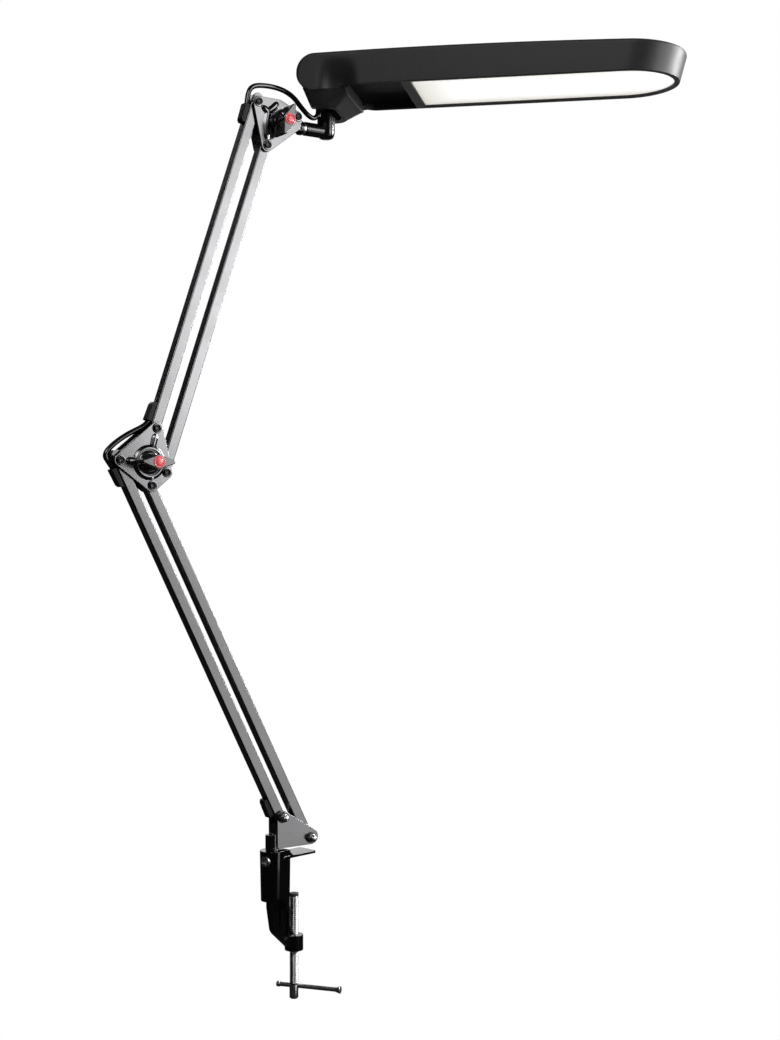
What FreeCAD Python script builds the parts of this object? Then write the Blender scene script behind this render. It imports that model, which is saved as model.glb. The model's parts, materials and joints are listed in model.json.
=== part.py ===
import FreeCAD, Part
import math
import os

# Architect lamp on a desk clamp: two parallelogram arms of box tube and a long light head.
# Millimetres, +Z up. The origin is on the underside of the clamp jaw, above the clamp screw.
# The arms lie in a vertical plane through the swivel post; +X is the way the jaw points.

V = FreeCAD.Vector

# Desk clamp
jaw_thickness = 2.2
jaw_reach_past_screw = 18.0
jaw_corner_radius = 3.0
clamp_half_width = 11.1
barrel_foot_radius = 10.0
throat_depth = 14.3
post_to_screw = 26.2
socket_top_z = 7.6
barrel_foot_z = -37.0
gable_apex_z = -35.0
gable_heel_z = -46.0
arm_web_thickness = 7.0
pocket_depth = 1.7
pocket_rim = 2.3
boss_radius = 8.4
boss_top_z = -72.0
boss_height = 14.0

# Clamp screw and tommy bar
screw_radius = 4.0
screw_tip_z = -34.8
screw_length = 95.0
screw_core_radius = 3.4
screw_tip_cap = 3.0
tip_cap_rim = 0.25
cross_hole_from_end = 11.6
tommy_bar_radius = 2.0
tommy_bar_length = 61.4
tommy_bar_offset = 14.2
tommy_bar_azimuth = -65.6
tommy_head_radius = 3.4

# Swivel post
post_radius = 5.0
post_depth = 41.0
groove_z = -0.6
groove_radius = 3.9
groove_half_height = 2.9
retaining_screw_azimuth = -163.4
retaining_screw_radius = 2.5
retaining_head_radius = 4.4
retaining_head_thickness = 2.6

# Arms, in their own plane: x forward, z up, y across, post axis at x = 0
arm_plane_azimuth = -12.69
base_pivot_x = 5.8
base_pivot_z = 37.0
lower_arm_length = 350.0
upper_arm_length = 305.0
lower_arm_lean = -26.28
upper_arm_lean = 18.67
lower_link_spacing = 35.6
upper_link_spacing = 38.15
lower_link_angle = -35.9
upper_link_angle = -76.46
elbow_rise_x = 33.25
elbow_rise_z = 27.45
tube_width = 9.5
tube_depth = 10.8
tube_wall = 0.9
tube_corner = 1.2
tube_end_past_pivot = 5.0
tube_tail_past_pivot = 9.0

# Cheeks, pivots and washers
cheek_thickness = 2.1
friction_washer_thickness = 0.5
cheek_corner_radius = 5.6
rib_height = 1.0
rib_width = 2.6
rib_ring_radius = 11.0
pivot_radius = 2.0
bush_radius = 2.7
screw_head_radius = 3.2
screw_head_height = 1.6
washer_outer_radius = 4.9
spring_stud_radius = 1.5

# Base bracket
collar_radius = 6.2
collar_height = 13.6
collar_gap = 0.3
bracket_web_thickness = 2.0
bracket_web_top = -6.5
dome_nut_radius = 3.9
dome_nut_height = 7.8
dome_nut_hex_height = 3.6

# Wing knobs
knob_axis_elbow_x = 25.9
knob_axis_elbow_z = -1.6
knob_axis_head_x = 20.5
knob_axis_head_z = -16.3
third_screw_x = 40.0
third_screw_z = -7.9
wing_length = 36.0
wing_width = 12.6
wing_tip_radius = 1.6
wing_depth = 17.6
wing_foot_radius = 7.2
wing_standoff = 1.4
knob_cap_radius = 5.2
knob_cap_height = 2.2
clamp_bolt_radius = 3.0
clamp_bolt_head_radius = 5.6
clamp_bolt_head_height = 3.4
elbow_wing_angle = -1.0
head_wing_angle = 70.2

# Cable hoods and lead
hood_mouth_from_pivot = 4.5
hood_length = 17.0
hood_mouth_height = 4.9
hood_tail_height = 4.2
hood_width = 9.0
hood_wall = 1.1
lead_diameter = 4.6
lead_entry_slot_width = 5.2

# Balance springs inside the front tubes
spring_radius = 3.4
spring_wire = 1.2
spring_length = 110.0
spring_start_from_pivot = 42.0
spring_cable_radius = 0.5
spring_cable_side = 3.27
spring_loop_wall = 0.6
cable_knuckle = 1.06
spring_pin_radius = 1.2

# Head tilt tongue and swivel bracket
tongue_radius = 9.0
tongue_neck_half_height = 3.5
tongue_collar_start = 24.6
tongue_collar_length = 3.4
bracket_washer_length = 2.6
bracket_washer_radius = 5.6
bracket_radius = 6.2
bracket_post_offset = 53.8
bracket_rise = 0.9
bracket_spigot_radius = 2.5
head_post_radius = 5.3
head_post_shoulder = 30.0
head_spigot_radius = 4.0
head_spigot_length = 13.0
head_nut_radius = 7.0
head_nut_height = 4.0

# Light head, in its own frame: x along the head, z = 0 level with the bracket's stub axis
head_azimuth = -44.2
head_reach = 323.6
head_half_width = 48.3
head_nose_radius = 16.6
head_nose_centre_z = 42.2
head_crown_x = 100.0
head_crown_z = 59.7
head_side_draft = 0.018
head_end_draft = 0.27
head_wall = 2.2
head_edge_radius = 3.0
underside_start_x = 22.0
underside_start_z = 29.5
underside_slope = 0.0023
hub_bottom_z = 15.5
hub_rear_x = -7.5
hub_rear_lean = 4.5
hub_front_corner = 13.0
hub_rear_corner = 7.0
# Hub sections at equal steps of height: forward edge, side set in from the head's side
hub_sections = (
    (14.0, 14.6),
    (17.4, 11.6),
    (21.2, 8.8),
    (25.2, 6.2),
    (30.4, 3.6),
    (37.0, 0.6),
)
hub_bay_front_x = 11.6
hub_bay_half_width = 22.0
hub_bay_corner_radius = 10.0
bearing_floor_z = 35.5
rim_width = 4.6
window_start_x = 84.8
recess_start_x = 27.0
recess_end_x = 76.0
recess_depth = 5.7
cover_thickness = 2.0
cover_wall = 0.7
recess_side_land = 3.0
diffuser_edge_gap = 0.3
diffuser_lap = 3.0
diffuser_thickness = 2.0
board_thickness = 1.6
board_standoff = 8.0
board_peg_radius = 2.0
board_peg_side = 30.0
board_end_gap = 2.5
driver_board_half_width = 18.0
coil_half = 7.0
coil_height = 8.5
lead_end_gap = 1.4

# Rocker switch on the top of the head
switch_x = 16.0
switch_length = 15.0
switch_width = 10.0
switch_proud = 1.6
switch_depth = 9.0
switch_wall = 1.5
switch_clearance = 0.35

running_fit = 0.06
fit_gap = 0.3

cheek_inner_y = tube_depth / 2 + friction_washer_thickness
cheek_outer_y = cheek_inner_y + cheek_thickness


# Small geometry helpers

def unit(angle):
    return math.cos(math.radians(angle)), math.sin(math.radians(angle))


def cylinder(radius, length, base, axis):
    return Part.makeCylinder(radius, length, V(*base), V(*axis))


def ring(outer, inner, length, base, axis):
    return cylinder(outer, length, base, axis).cut(cylinder(inner, length, base, axis))


def across(radius, x, z, y0, y1):
    return cylinder(radius, y1 - y0, (x, y0, z), (0, 1, 0))


def washer_across(outer, inner, x, z, y0, y1):
    return across(outer, x, z, y0, y1).cut(across(inner, x, z, y0, y1))


def box(x0, x1, y0, y1, z0, z1):
    return Part.makeBox(x1 - x0, y1 - y0, z1 - z0, V(x0, y0, z0))


def rounded_wire(corners, lift):
    """Closed wire through corners (a, b, radius), each rounded by a tangent arc."""
    count = len(corners)
    starts, ends, mids = [], [], []
    for i in range(count):
        ax, ay, _ = corners[i - 1]
        bx, by, radius = corners[i]
        cx, cy, _ = corners[(i + 1) % count]
        ux, uy = ax - bx, ay - by
        wx, wy = cx - bx, cy - by
        lu, lw = math.hypot(ux, uy), math.hypot(wx, wy)
        ux, uy, wx, wy = ux / lu, uy / lu, wx / lw, wy / lw
        half = math.acos(max(-1.0, min(1.0, ux * wx + uy * wy))) / 2
        run = radius / math.tan(half)
        bis = math.hypot(ux + wx, uy + wy)
        far = radius / math.sin(half)
        mx, my = bx + (ux + wx) / bis * (far - radius), by + (uy + wy) / bis * (far - radius)
        starts.append((bx + ux * run, by + uy * run))
        ends.append((bx + wx * run, by + wy * run))
        mids.append((mx, my))
    edges = []
    for i in range(count):
        nxt = (i + 1) % count
        if corners[i][2] > 0:
            edges.append(Part.Arc(lift(*starts[i]), lift(*mids[i]), lift(*ends[i])).toShape())
        if math.dist(ends[i], starts[nxt]) > 1e-6:
            edges.append(Part.LineSegment(lift(*ends[i]), lift(*starts[nxt])).toShape())
    return Part.Wire(edges)


def plate_xz(corners, y0, y1):
    """Plate with an outline in the x-z plane."""
    wire = rounded_wire(corners, lambda a, b: V(a, y0, b))
    return Part.Face(wire).extrude(V(0, y1 - y0, 0))


def plate_xy(corners, z0, z1):
    """Plate with an outline in the x-y plane."""
    wire = rounded_wire(corners, lambda a, b: V(a, b, z0))
    return Part.Face(wire).extrude(V(0, 0, z1 - z0))


def hull_wire(circles, lift):
    """Wire round a convex chain of circles (x, z, radius), listed anticlockwise."""
    count = len(circles)
    leave, arrive = [], []
    for i in range(count):
        ax, ay, ra = circles[i]
        bx, by, rb = circles[(i + 1) % count]
        dist = math.hypot(bx - ax, by - ay)
        heading = math.atan2(by - ay, bx - ax)
        normal = heading - math.acos((ra - rb) / dist)
        leave.append((ax + ra * math.cos(normal), ay + ra * math.sin(normal), normal))
        arrive.append((bx + rb * math.cos(normal), by + rb * math.sin(normal), normal))
    edges = []
    for i in range(count):
        x, y, radius = circles[i]
        a_in = arrive[i - 1][2]
        a_out = leave[i][2]
        while a_out < a_in:
            a_out += 2 * math.pi
        mid = (a_in + a_out) / 2
        middle = lift(x + radius * math.cos(mid), y + radius * math.sin(mid))
        edges.append(Part.Arc(lift(*arrive[i - 1][:2]), middle, lift(*leave[i][:2])).toShape())
        edges.append(Part.LineSegment(lift(*leave[i][:2]), lift(*arrive[i][:2])).toShape())
    return Part.Wire(edges)


def hull_plate(circles, y0, y1):
    wire = hull_wire(circles, lambda a, b: V(a, y0, b))
    return Part.Face(wire).extrude(V(0, y1 - y0, 0))


def bar_between(x0, z0, x1, z1, width, y0, y1):
    """Straight rib with round ends between two points of the arm plane."""
    half = width / 2
    return hull_plate([(x0, z0, half), (x1, z1, half)], y0, y1)


def fuse_all(shapes):
    out = shapes[0]
    for other in shapes[1:]:
        out = out.fuse(other)
    return out.removeSplitter()


def tube_path(points, radius, name):
    """Round tube along straight runs joined by tangent arcs; prints its bend radii."""
    pts = [V(*p) for p in points]
    edges, radii = [], []
    here = pts[0]
    bends = 0.0
    for i in range(1, len(pts) - 1):
        back = pts[i - 1].sub(pts[i])
        ahead = pts[i + 1].sub(pts[i])
        shorter = min(back.Length, ahead.Length)
        turn = math.pi - back.getAngle(ahead)
        cut = 0.45 * shorter
        bend = cut / math.tan(turn / 2)
        back.normalize()
        ahead.normalize()
        first = pts[i].add(back.multiply(cut))
        last = pts[i].add(ahead.multiply(cut))
        centre_dir = first.add(last).multiply(0.5).sub(pts[i])
        centre_dir.normalize()
        middle = pts[i].add(centre_dir.multiply(bend / math.cos(turn / 2) - bend))
        edges.append(Part.LineSegment(here, first).toShape())
        edges.append(Part.Arc(first, middle, last).toShape())
        bends += bend * turn
        radii.append(round(bend, 1))
        here = last
    edges.append(Part.LineSegment(here, pts[-1]).toShape())
    wire = Part.Wire(edges)
    start = pts[1].sub(pts[0])
    section = Part.Wire(Part.makeCircle(radius, pts[0], start))
    solid = wire.makePipeShell([section], True, False)
    if solid.Volume < 0:
        solid.reverse()
    ideal = math.pi * radius * radius * wire.Length
    print(name, "bend radii", radii, "length", round(wire.Length, 1),
          "volume ratio", round(solid.Volume / ideal, 4))
    return solid


class Line:
    """Local frame of one arm tube: t runs along it from a pivot, s towards its back."""

    def __init__(self, x, z, lean):
        self.x = x
        self.z = z
        self.lean = lean
        self.tx = math.sin(math.radians(lean))
        self.tz = math.cos(math.radians(lean))

    def at(self, t, s=0.0):
        return self.x + t * self.tx - s * self.tz, self.z + t * self.tz + s * self.tx

    def place(self, shape):
        """Move a shape modelled upright, pivot at the origin, front towards +x."""
        moved = shape.copy()
        moved.rotate(V(0, 0, 0), V(0, 1, 0), self.lean)
        moved.translate(V(self.x, 0, self.z))
        return moved


# Pivot places in the arm plane

def offset(point, length, angle):
    c, s = unit(angle)
    return point[0] + length * c, point[1] + length * s


base_rear = (base_pivot_x, base_pivot_z)
base_front = offset(base_rear, lower_link_spacing, lower_link_angle)
elbow_left = offset(base_rear, lower_arm_length, 90 - lower_arm_lean)
elbow_bottom = offset(elbow_left, lower_link_spacing, lower_link_angle)
elbow_top = (elbow_left[0] + elbow_rise_x, elbow_left[1] + elbow_rise_z)
elbow_right = offset(elbow_top, upper_link_spacing, upper_link_angle)
head_rear = offset(elbow_top, upper_arm_length, 90 - upper_arm_lean)
head_front = offset(head_rear, upper_link_spacing, upper_link_angle)
elbow_knob = (elbow_left[0] + knob_axis_elbow_x, elbow_left[1] + knob_axis_elbow_z)
head_knob = (head_rear[0] + knob_axis_head_x, head_rear[1] + knob_axis_head_z)
bracket_axis_z = head_knob[1] + bracket_rise
head_third = (head_rear[0] + third_screw_x, head_rear[1] + third_screw_z)
lower_stud = (elbow_bottom[0] - 7.0, elbow_bottom[1] + 5.5)
upper_stud = (elbow_right[0] - 6.5, elbow_right[1] - 7.5)

lower_rear_line = Line(*base_rear, lower_arm_lean)
lower_front_line = Line(*base_front, lower_arm_lean)
upper_rear_line = Line(*elbow_top, upper_arm_lean)
upper_front_line = Line(*elbow_right, upper_arm_lean)


# Clamp casting and its screw

def clamp_barrel():
    """Tapered back barrel that runs into the flat-sided block behind the jaw."""
    sections = []
    for z, radius in ((socket_top_z, clamp_half_width), (gable_heel_z, barrel_foot_radius)):
        centre = -post_to_screw
        edges = [
            Part.Arc(V(centre, radius, z), V(centre - radius, 0, z), V(centre, -radius, z)).toShape(),
            Part.LineSegment(V(centre, -radius, z), V(-throat_depth, -radius, z)).toShape(),
            Part.LineSegment(V(-throat_depth, -radius, z), V(-throat_depth, radius, z)).toShape(),
            Part.LineSegment(V(-throat_depth, radius, z), V(centre, radius, z)).toShape(),
        ]
        sections.append(Part.Wire(edges))
    block = Part.makeLoft(sections, True, True)
    left = -post_to_screw - clamp_half_width - 5
    below = gable_heel_z - 5
    gable = [(left, below, 0), (left, barrel_foot_z, 0), (-post_to_screw - 6, barrel_foot_z, 0),
             (-post_to_screw, gable_apex_z, 0), (-throat_depth + 1, gable_heel_z + 1, 0),
             (-throat_depth + 1, below, 0)]
    return block.cut(plate_xz(gable, -clamp_half_width - 5, clamp_half_width + 5))


def clamp_lower_arm():
    """Ribbed web that curves from the barrel down to the screw boss."""
    half = arm_web_thickness / 2
    left = -post_to_screw
    profile = [(left - 4.5, -24.0, 0), (left - 4.5, -43.0, 14.0), (left - 0.6, -65.5, 11.0),
               (left + 17.0, boss_top_z - 9.5, 4.0), (-4.0, boss_top_z - boss_height, 0),
               (2.0, boss_top_z - boss_height, 0), (2.0, boss_top_z, 0),
               (-7.8, boss_top_z + 5.0, 4.0), (-7.8, -45.0, 4.0),
               (-throat_depth, -36.0, 0), (-throat_depth, -24.0, 0)]
    web = plate_xz(profile, -half, half)
    rim = pocket_rim
    pocket = [(left - 4.5 + rim + 0.6, barrel_foot_z - 4, 0), (left + 2.2 + rim, -63.0, 3.0),
              (left + 14.0, boss_top_z - 4.0, 2.0), (-7.8 - rim, boss_top_z + 2.5, 1.5),
              (-7.8 - rim, -50.0, 1.0), (left + 5.0, barrel_foot_z - 2.5, 0)]
    rib_x = left + 8.6
    for side in (-1, 1):
        y0, y1 = sorted((side * (half - pocket_depth), side * (half + 1)))
        cutter = plate_xz(pocket, y0, y1)
        cutter = cutter.cut(box(rib_x - 0.9, rib_x + 0.9, y0 - 1, y1 + 1, -63, -30))
        web = web.cut(cutter)
    return web


def clamp_body():
    jaw = plate_xy([(-throat_depth - 8, -clamp_half_width, 0),
                    (jaw_reach_past_screw, -clamp_half_width, jaw_corner_radius),
                    (jaw_reach_past_screw, clamp_half_width, jaw_corner_radius),
                    (-throat_depth - 8, clamp_half_width, 0)], 0, jaw_thickness)
    gusset = plate_xz([(-throat_depth - 1, jaw_thickness - 1, 0), (-throat_depth + 4.5, jaw_thickness, 0),
                       (-throat_depth, jaw_thickness + 4.0, 0), (-throat_depth - 1, jaw_thickness + 4.0, 0)],
                      -clamp_half_width + 1, clamp_half_width - 1)
    boss = cylinder(boss_radius, boss_height, (0, 0, boss_top_z - boss_height), (0, 0, 1))
    body = fuse_all([clamp_barrel(), clamp_lower_arm(), jaw, gusset, boss])
    socket_foot = socket_top_z - post_depth - 1
    socket = cylinder(post_radius + running_fit, post_depth + 2,
                      (-post_to_screw, 0, socket_foot), (0, 0, 1))
    thread = cylinder(screw_radius + running_fit, boss_height + 20,
                      (0, 0, boss_top_z - boss_height - 5), (0, 0, 1))
    c, s = unit(retaining_screw_azimuth)
    side_hole = cylinder(retaining_screw_radius, clamp_half_width + 5,
                         (-post_to_screw, 0, groove_z), (c, s, 0))
    seat = cylinder(retaining_head_radius + 0.6, 4, (-post_to_screw + c * (clamp_half_width - 0.6),
                    s * (clamp_half_width - 0.6), groove_z), (c, s, 0))
    tip_room = cylinder(screw_radius + tip_cap_rim + fit_gap, screw_tip_cap + 8,
                        (0, 0, boss_top_z), (0, 0, 1))
    return body.cut(socket).cut(thread).cut(side_hole).cut(seat).cut(tip_room)


def post_retaining_screw():
    c, s = unit(retaining_screw_azimuth)

    def along(distance):
        return -post_to_screw + c * distance, s * distance, groove_z

    tip = groove_radius + fit_gap
    seat = clamp_half_width - 0.6
    shank = cylinder(retaining_screw_radius, seat - tip + 0.5, along(tip), (c, s, 0))
    head = cylinder(retaining_head_radius, retaining_head_thickness, along(seat), (c, s, 0))
    top = along(seat + retaining_head_thickness - 1.1)
    for turn in (0, 90):
        slot = box(-0.5, 3, -0.5, 0.5, -2.6, 2.6)
        slot.rotate(V(0, 0, 0), V(1, 0, 0), turn + 20)
        slot.rotate(V(0, 0, 0), V(0, 0, 1), retaining_screw_azimuth)
        slot.translate(V(*top))
        head = head.cut(slot)
    return shank.fuse(head).removeSplitter()


def clamp_screw():
    """Screw with a bevelled foot, a cross hole for the bar and a neck that the tip turns on."""
    foot = screw_tip_z - screw_length
    shank = cylinder(screw_radius, screw_length - screw_tip_cap, (0, 0, foot), (0, 0, 1))
    neck = cylinder(screw_core_radius - 1, 1.6, (0, 0, screw_tip_z - screw_tip_cap), (0, 0, 1))
    body = shank.fuse(neck)
    c, s = unit(tommy_bar_azimuth)
    hole_z = foot + cross_hole_from_end
    hole = cylinder(tommy_bar_radius + running_fit, 4 * screw_radius,
                    (-2 * screw_radius * c, -2 * screw_radius * s, hole_z), (c, s, 0))
    bevel = Part.makeCone(screw_radius - 1.0, screw_radius, 1.0, V(0, 0, foot), V(0, 0, 1))
    keep = fuse_all([bevel, cylinder(screw_radius + 1, screw_length + 5, (0, 0, foot + 1.0), (0, 0, 1))])
    return body.common(keep).cut(hole).removeSplitter()


def clamp_screw_tip():
    base = screw_tip_z - screw_tip_cap
    cap = cylinder(screw_radius + tip_cap_rim, screw_tip_cap, (0, 0, base), (0, 0, 1))
    bore = cylinder(screw_core_radius - 1 + running_fit, 1.6 + running_fit, (0, 0, base), (0, 0, 1))
    return cap.cut(bore)


def tommy_bar():
    c, s = unit(tommy_bar_azimuth)
    z = screw_tip_z - screw_length + cross_hole_from_end
    start = -(tommy_bar_length / 2 - tommy_bar_offset)

    def along(distance):
        return c * distance, s * distance, z

    bar = cylinder(tommy_bar_radius, tommy_bar_length, along(start), (c, s, 0))
    near = cylinder(tommy_bar_radius + 0.5, 3.0, along(start), (c, s, 0))
    far_at = start + tommy_bar_length - 5.0
    far = Part.makeCone(tommy_bar_radius, tommy_head_radius, 5.0, V(*along(far_at)), V(c, s, 0))
    return fuse_all([bar, near, far])


# Base bracket, post and bolts

def base_cheek_circles():
    return [(base_rear[0] - 3.7, base_rear[1] - 26.0, 1.3), (base_front[0] + 1.0, base_front[1] + 0.9, 7.0),
            (base_rear[0] + 0.4, base_rear[1] + 0.3, 5.6)]


def base_bracket():
    """Two cheeks joined by a back web, over the collar that carries the post."""
    circles = base_cheek_circles()
    parts = [hull_plate(circles, -cheek_outer_y, -cheek_inner_y),
             hull_plate(circles, cheek_inner_y, cheek_outer_y)]
    x0 = base_rear[0] - 4.9
    foot = base_rear[1] - 27.3
    web_top = base_rear[1] + bracket_web_top
    parts.append(box(x0, x0 + bracket_web_thickness, -cheek_inner_y - 0.5, cheek_inner_y + 0.5, foot, web_top))
    parts.append(box(x0, base_rear[0] + 14, -cheek_inner_y - 0.5, cheek_inner_y + 0.5,
                     foot, foot + bracket_web_thickness))
    collar_z = socket_top_z + collar_gap
    parts.append(cylinder(collar_radius, collar_height, (0, 0, collar_z), (0, 0, 1)))
    body = fuse_all(parts)
    for x, z in (base_rear, base_front):
        body = body.cut(across(pivot_radius, x, z, -cheek_outer_y - 5, cheek_outer_y + 5))
    for x, z in (base_rear, base_front):
        body = body.cut(across(tube_end_past_pivot + 0.8, x, z, -cheek_inner_y, cheek_inner_y))
    post_hole = cylinder(post_radius, collar_height - 2.0, (0, 0, collar_z), (0, 0, 1))
    return body.cut(post_hole).removeSplitter()


def swivel_post():
    top = socket_top_z + collar_gap + collar_height - 2.0
    foot = socket_top_z - post_depth
    post = cylinder(post_radius, top - foot, (0, 0, foot), (0, 0, 1))
    groove = ring(post_radius + 1, groove_radius, 2 * groove_half_height,
                  (0, 0, groove_z - groove_half_height), (0, 0, 1))
    bevel = Part.makeCone(post_radius - 1.2, post_radius + 1, 2.2, V(0, 0, foot), V(0, 0, 1))
    keep = bevel.fuse(cylinder(post_radius + 1, top - foot, (0, 0, foot + 2.2), (0, 0, 1)))
    return post.cut(groove).common(keep)


def hexagon(radius, x, z, y0, y1):
    corners = []
    for k in range(6):
        c, s = unit(60 * k)
        corners.append((x + radius * c, z + radius * s, 0))
    return plate_xz(corners, y0, y1)


def base_pivot_bolts():
    out = []
    for x, z in (base_rear, base_front):
        y_nut = -cheek_outer_y - friction_washer_thickness - dome_nut_height + 2.0
        shank = across(pivot_radius, x, z, y_nut, cheek_outer_y)
        head = hexagon(screw_head_radius + 0.6, x, z, cheek_outer_y, cheek_outer_y + 2.6)
        out.append(shank.fuse(head).removeSplitter())
    return Part.makeCompound(out)


def base_dome_nuts():
    out = []
    for x, z in (base_rear, base_front):
        y0 = -cheek_outer_y - friction_washer_thickness
        nut = hexagon(dome_nut_radius, x, z, y0 - dome_nut_hex_height, y0)
        crown = dome_nut_radius - 0.7
        dome = Part.makeSphere(crown, V(x, y0 - dome_nut_height + crown, z))
        dome = dome.fuse(across(crown, x, z, y0 - dome_nut_height + crown, y0))
        nut = nut.fuse(dome)
        nut = nut.cut(across(pivot_radius, x, z, y0 - dome_nut_height + 2.0, y0 + 1))
        out.append(nut.removeSplitter())
    return Part.makeCompound(out)


def base_nut_washers():
    y0 = -cheek_outer_y - friction_washer_thickness
    return Part.makeCompound([washer_across(washer_outer_radius, pivot_radius, x, z, y0, -cheek_outer_y)
                              for x, z in (base_rear, base_front)])


def friction_washers(places):
    """One thin washer on each side of the tube at every place."""
    out = []
    for x, z in places:
        for y0, y1 in ((-cheek_inner_y, -tube_depth / 2), (tube_depth / 2, cheek_inner_y)):
            out.append(washer_across(washer_outer_radius, pivot_radius, x, z, y0, y1))
    return Part.makeCompound(out)


# Arm tubes

def tube_section(width, depth, corner, length):
    corners = [(-width / 2, -depth / 2, corner), (width / 2, -depth / 2, corner),
               (width / 2, depth / 2, corner), (-width / 2, depth / 2, corner)]
    return plate_xy(corners, 0, length)


def box_tube(length, foot_tail, top_tail):
    """Upright box tube from the pivot at z = 0 to the pivot at z = length, ends rounded."""
    total = length + foot_tail + top_tail
    outer = tube_section(tube_width, tube_depth, tube_corner, total)
    inner = tube_section(tube_width - 2 * tube_wall, tube_depth - 2 * tube_wall, tube_corner - tube_wall, total)
    tube = outer.cut(inner)
    tube.translate(V(0, 0, -foot_tail))
    half = tube_width / 2
    outline = hull_plate([(0, half - foot_tail, half), (0, length + top_tail - half, half)],
                         -tube_depth, tube_depth)
    tube = tube.common(outline)
    for z in (0, length):
        tube = tube.cut(across(bush_radius, 0, z, -tube_depth, tube_depth))
    return tube


def lead_slots(tube, length):
    """Open slots in the back wall where the lead leaves the tube under its hoods."""
    half = lead_entry_slot_width / 2
    reach = hood_mouth_from_pivot + hood_length - 2.5
    for z0, z1 in ((-tube_tail_past_pivot - 1, reach), (length - reach, length + tube_tail_past_pivot + 1)):
        tube = tube.cut(box(-tube_width, -bush_radius, -half, half, z0, z1))
    return tube


def pivot_bushes(length):
    depth = tube_depth / 2
    return Part.makeCompound([washer_across(bush_radius, pivot_radius + running_fit, 0, z, -depth, depth)
                              for z in (0, length)])


def cable_hood(pivot_end):
    """Channel on the tube's back; its mouth opens towards the pivot at z = 0."""
    face = -tube_width / 2
    z0 = hood_mouth_from_pivot
    z1 = z0 + hood_length
    outer = [(face, z0, 0), (face, z1, 0), (face - hood_tail_height + 1.5, z1, 0.5),
             (face - hood_tail_height, z1 - 2.5, 1.0), (face - hood_mouth_height, z0, 0)]
    shell = plate_xz(outer, -hood_width / 2, hood_width / 2)
    lip = face - hood_mouth_height + hood_wall
    inner = [(face + 1, z0 - 1, 0), (face + 1, z1 - hood_wall, 0), (face, z1 - hood_wall, 0),
             (face - hood_tail_height + hood_wall, z1 - 3.0, 0), (lip, z0 - 1, 0)]
    shell = shell.cut(plate_xz(inner, -hood_width / 2 + hood_wall, hood_width / 2 - hood_wall))
    if pivot_end > 0:
        shell = shell.mirror(V(0, 0, pivot_end / 2), V(0, 0, 1))
    return shell


def hood_mouth(length, at_top):
    """Lead's centre just inside a hood, and where its line meets the tube's axis."""
    t = hood_mouth_from_pivot + 1.0
    s = tube_width / 2 + hood_mouth_height - hood_wall - lead_diameter / 2 - 0.35
    inner_t = t + 2.3 * s
    if at_top:
        return (length - t, s), (length - inner_t, 0.0)
    return (t, s), (inner_t, 0.0)


def tube_lead(line, length, name):
    """Lead inside a tube; its ends stop short of the leads that meet them in the hoods."""
    points = []
    for at_top in (False, True):
        mouth, inner = hood_mouth(length, at_top)
        share = lead_end_gap / math.dist(mouth, inner)
        end = tuple(m + (i - m) * share for m, i in zip(mouth, inner))
        pair = [inner, end] if at_top else [end, inner]
        for t, s in pair:
            x, z = line.at(t, s)
            points.append((x, 0.0, z))
    return tube_path(points, lead_diameter / 2, name)


# Springs in the front tubes

def spring_parts():
    """Spring body with end loops and its cross pin, on an upright tube."""
    z0 = spring_start_from_pivot
    z1 = z0 + spring_length
    body = ring(spring_radius, spring_radius - spring_wire, spring_length, (0, 0, z0), (0, 0, 1))
    half_wire = spring_wire / 2
    loop = ring(spring_radius - spring_loop_wall, spring_radius - spring_loop_wall - spring_wire, spring_wire,
                (0, -half_wire, z1 + 1.6), (0, 1, 0))
    eye = ring(spring_radius - spring_loop_wall, spring_radius - spring_loop_wall - spring_wire, spring_wire,
               (0, -half_wire, z0 - 1.6), (0, 1, 0))
    spring = fuse_all([body, loop, eye])
    pin = across(spring_pin_radius, 0, z1 + 1.6, -tube_depth / 2, tube_depth / 2)
    return spring, pin


def flip(shape, length):
    return shape.mirror(V(0, 0, length / 2), V(0, 0, 1))


def spring_set(line, length, from_top):
    spring, pin = spring_parts()
    if from_top:
        spring = flip(spring, length)
        pin = flip(pin, length)
    return line.place(spring), line.place(pin)


def spring_cable(line, length, from_top, stud):
    """Pull cable from the spring's eye, past the pivot bush, to its stud in the elbow."""
    def at(t, s):
        return line.at(length - t if from_top else t, s)

    hook = at(spring_start_from_pivot - 5.5, 0.0)
    bend = at(18.0, spring_cable_side - 0.3)
    past = at(-1.0, spring_cable_side)
    points = [(hook[0], 0.0, hook[1]), (bend[0], 0.0, bend[1]), (past[0], 0.0, past[1]),
              (stud[0], 0.0, stud[1])]
    return polyline_cable(points, spring_cable_radius, stud)


def polyline_cable(points, radius, stud):
    parts = []
    pts = [V(*p) for p in points]
    for a, b in zip(pts, pts[1:]):
        run = b.sub(a)
        parts.append(Part.makeCylinder(radius, run.Length, a, run))
    for p in pts[1:-1]:
        parts.append(Part.makeSphere(radius * cable_knuckle, p))
    half = radius + 0.2
    eye = washer_across(spring_stud_radius + 1.2, spring_stud_radius, stud[0], stud[1], -half, half)
    cable = fuse_all(parts).cut(across(spring_stud_radius, stud[0], stud[1], -3, 3))
    return cable.fuse(eye).removeSplitter()


# Elbow and head joint cheeks

def raised_ribs(centre, ends, y0, y1, with_ring):
    parts = []
    for x, z in ends:
        parts.append(bar_between(centre[0], centre[1], x, z, rib_width, y0, y1))
        parts.append(across(screw_head_radius + 1.1, x, z, y0, y1))
    ribs = fuse_all(parts)
    inner = rib_ring_radius - rib_width
    ribs = ribs.cut(across(inner, centre[0], centre[1], y0 - 1, y1 + 1))
    if with_ring:
        ribs = ribs.fuse(washer_across(rib_ring_radius, inner, centre[0], centre[1], y0, y1))
    return ribs.removeSplitter()


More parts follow.
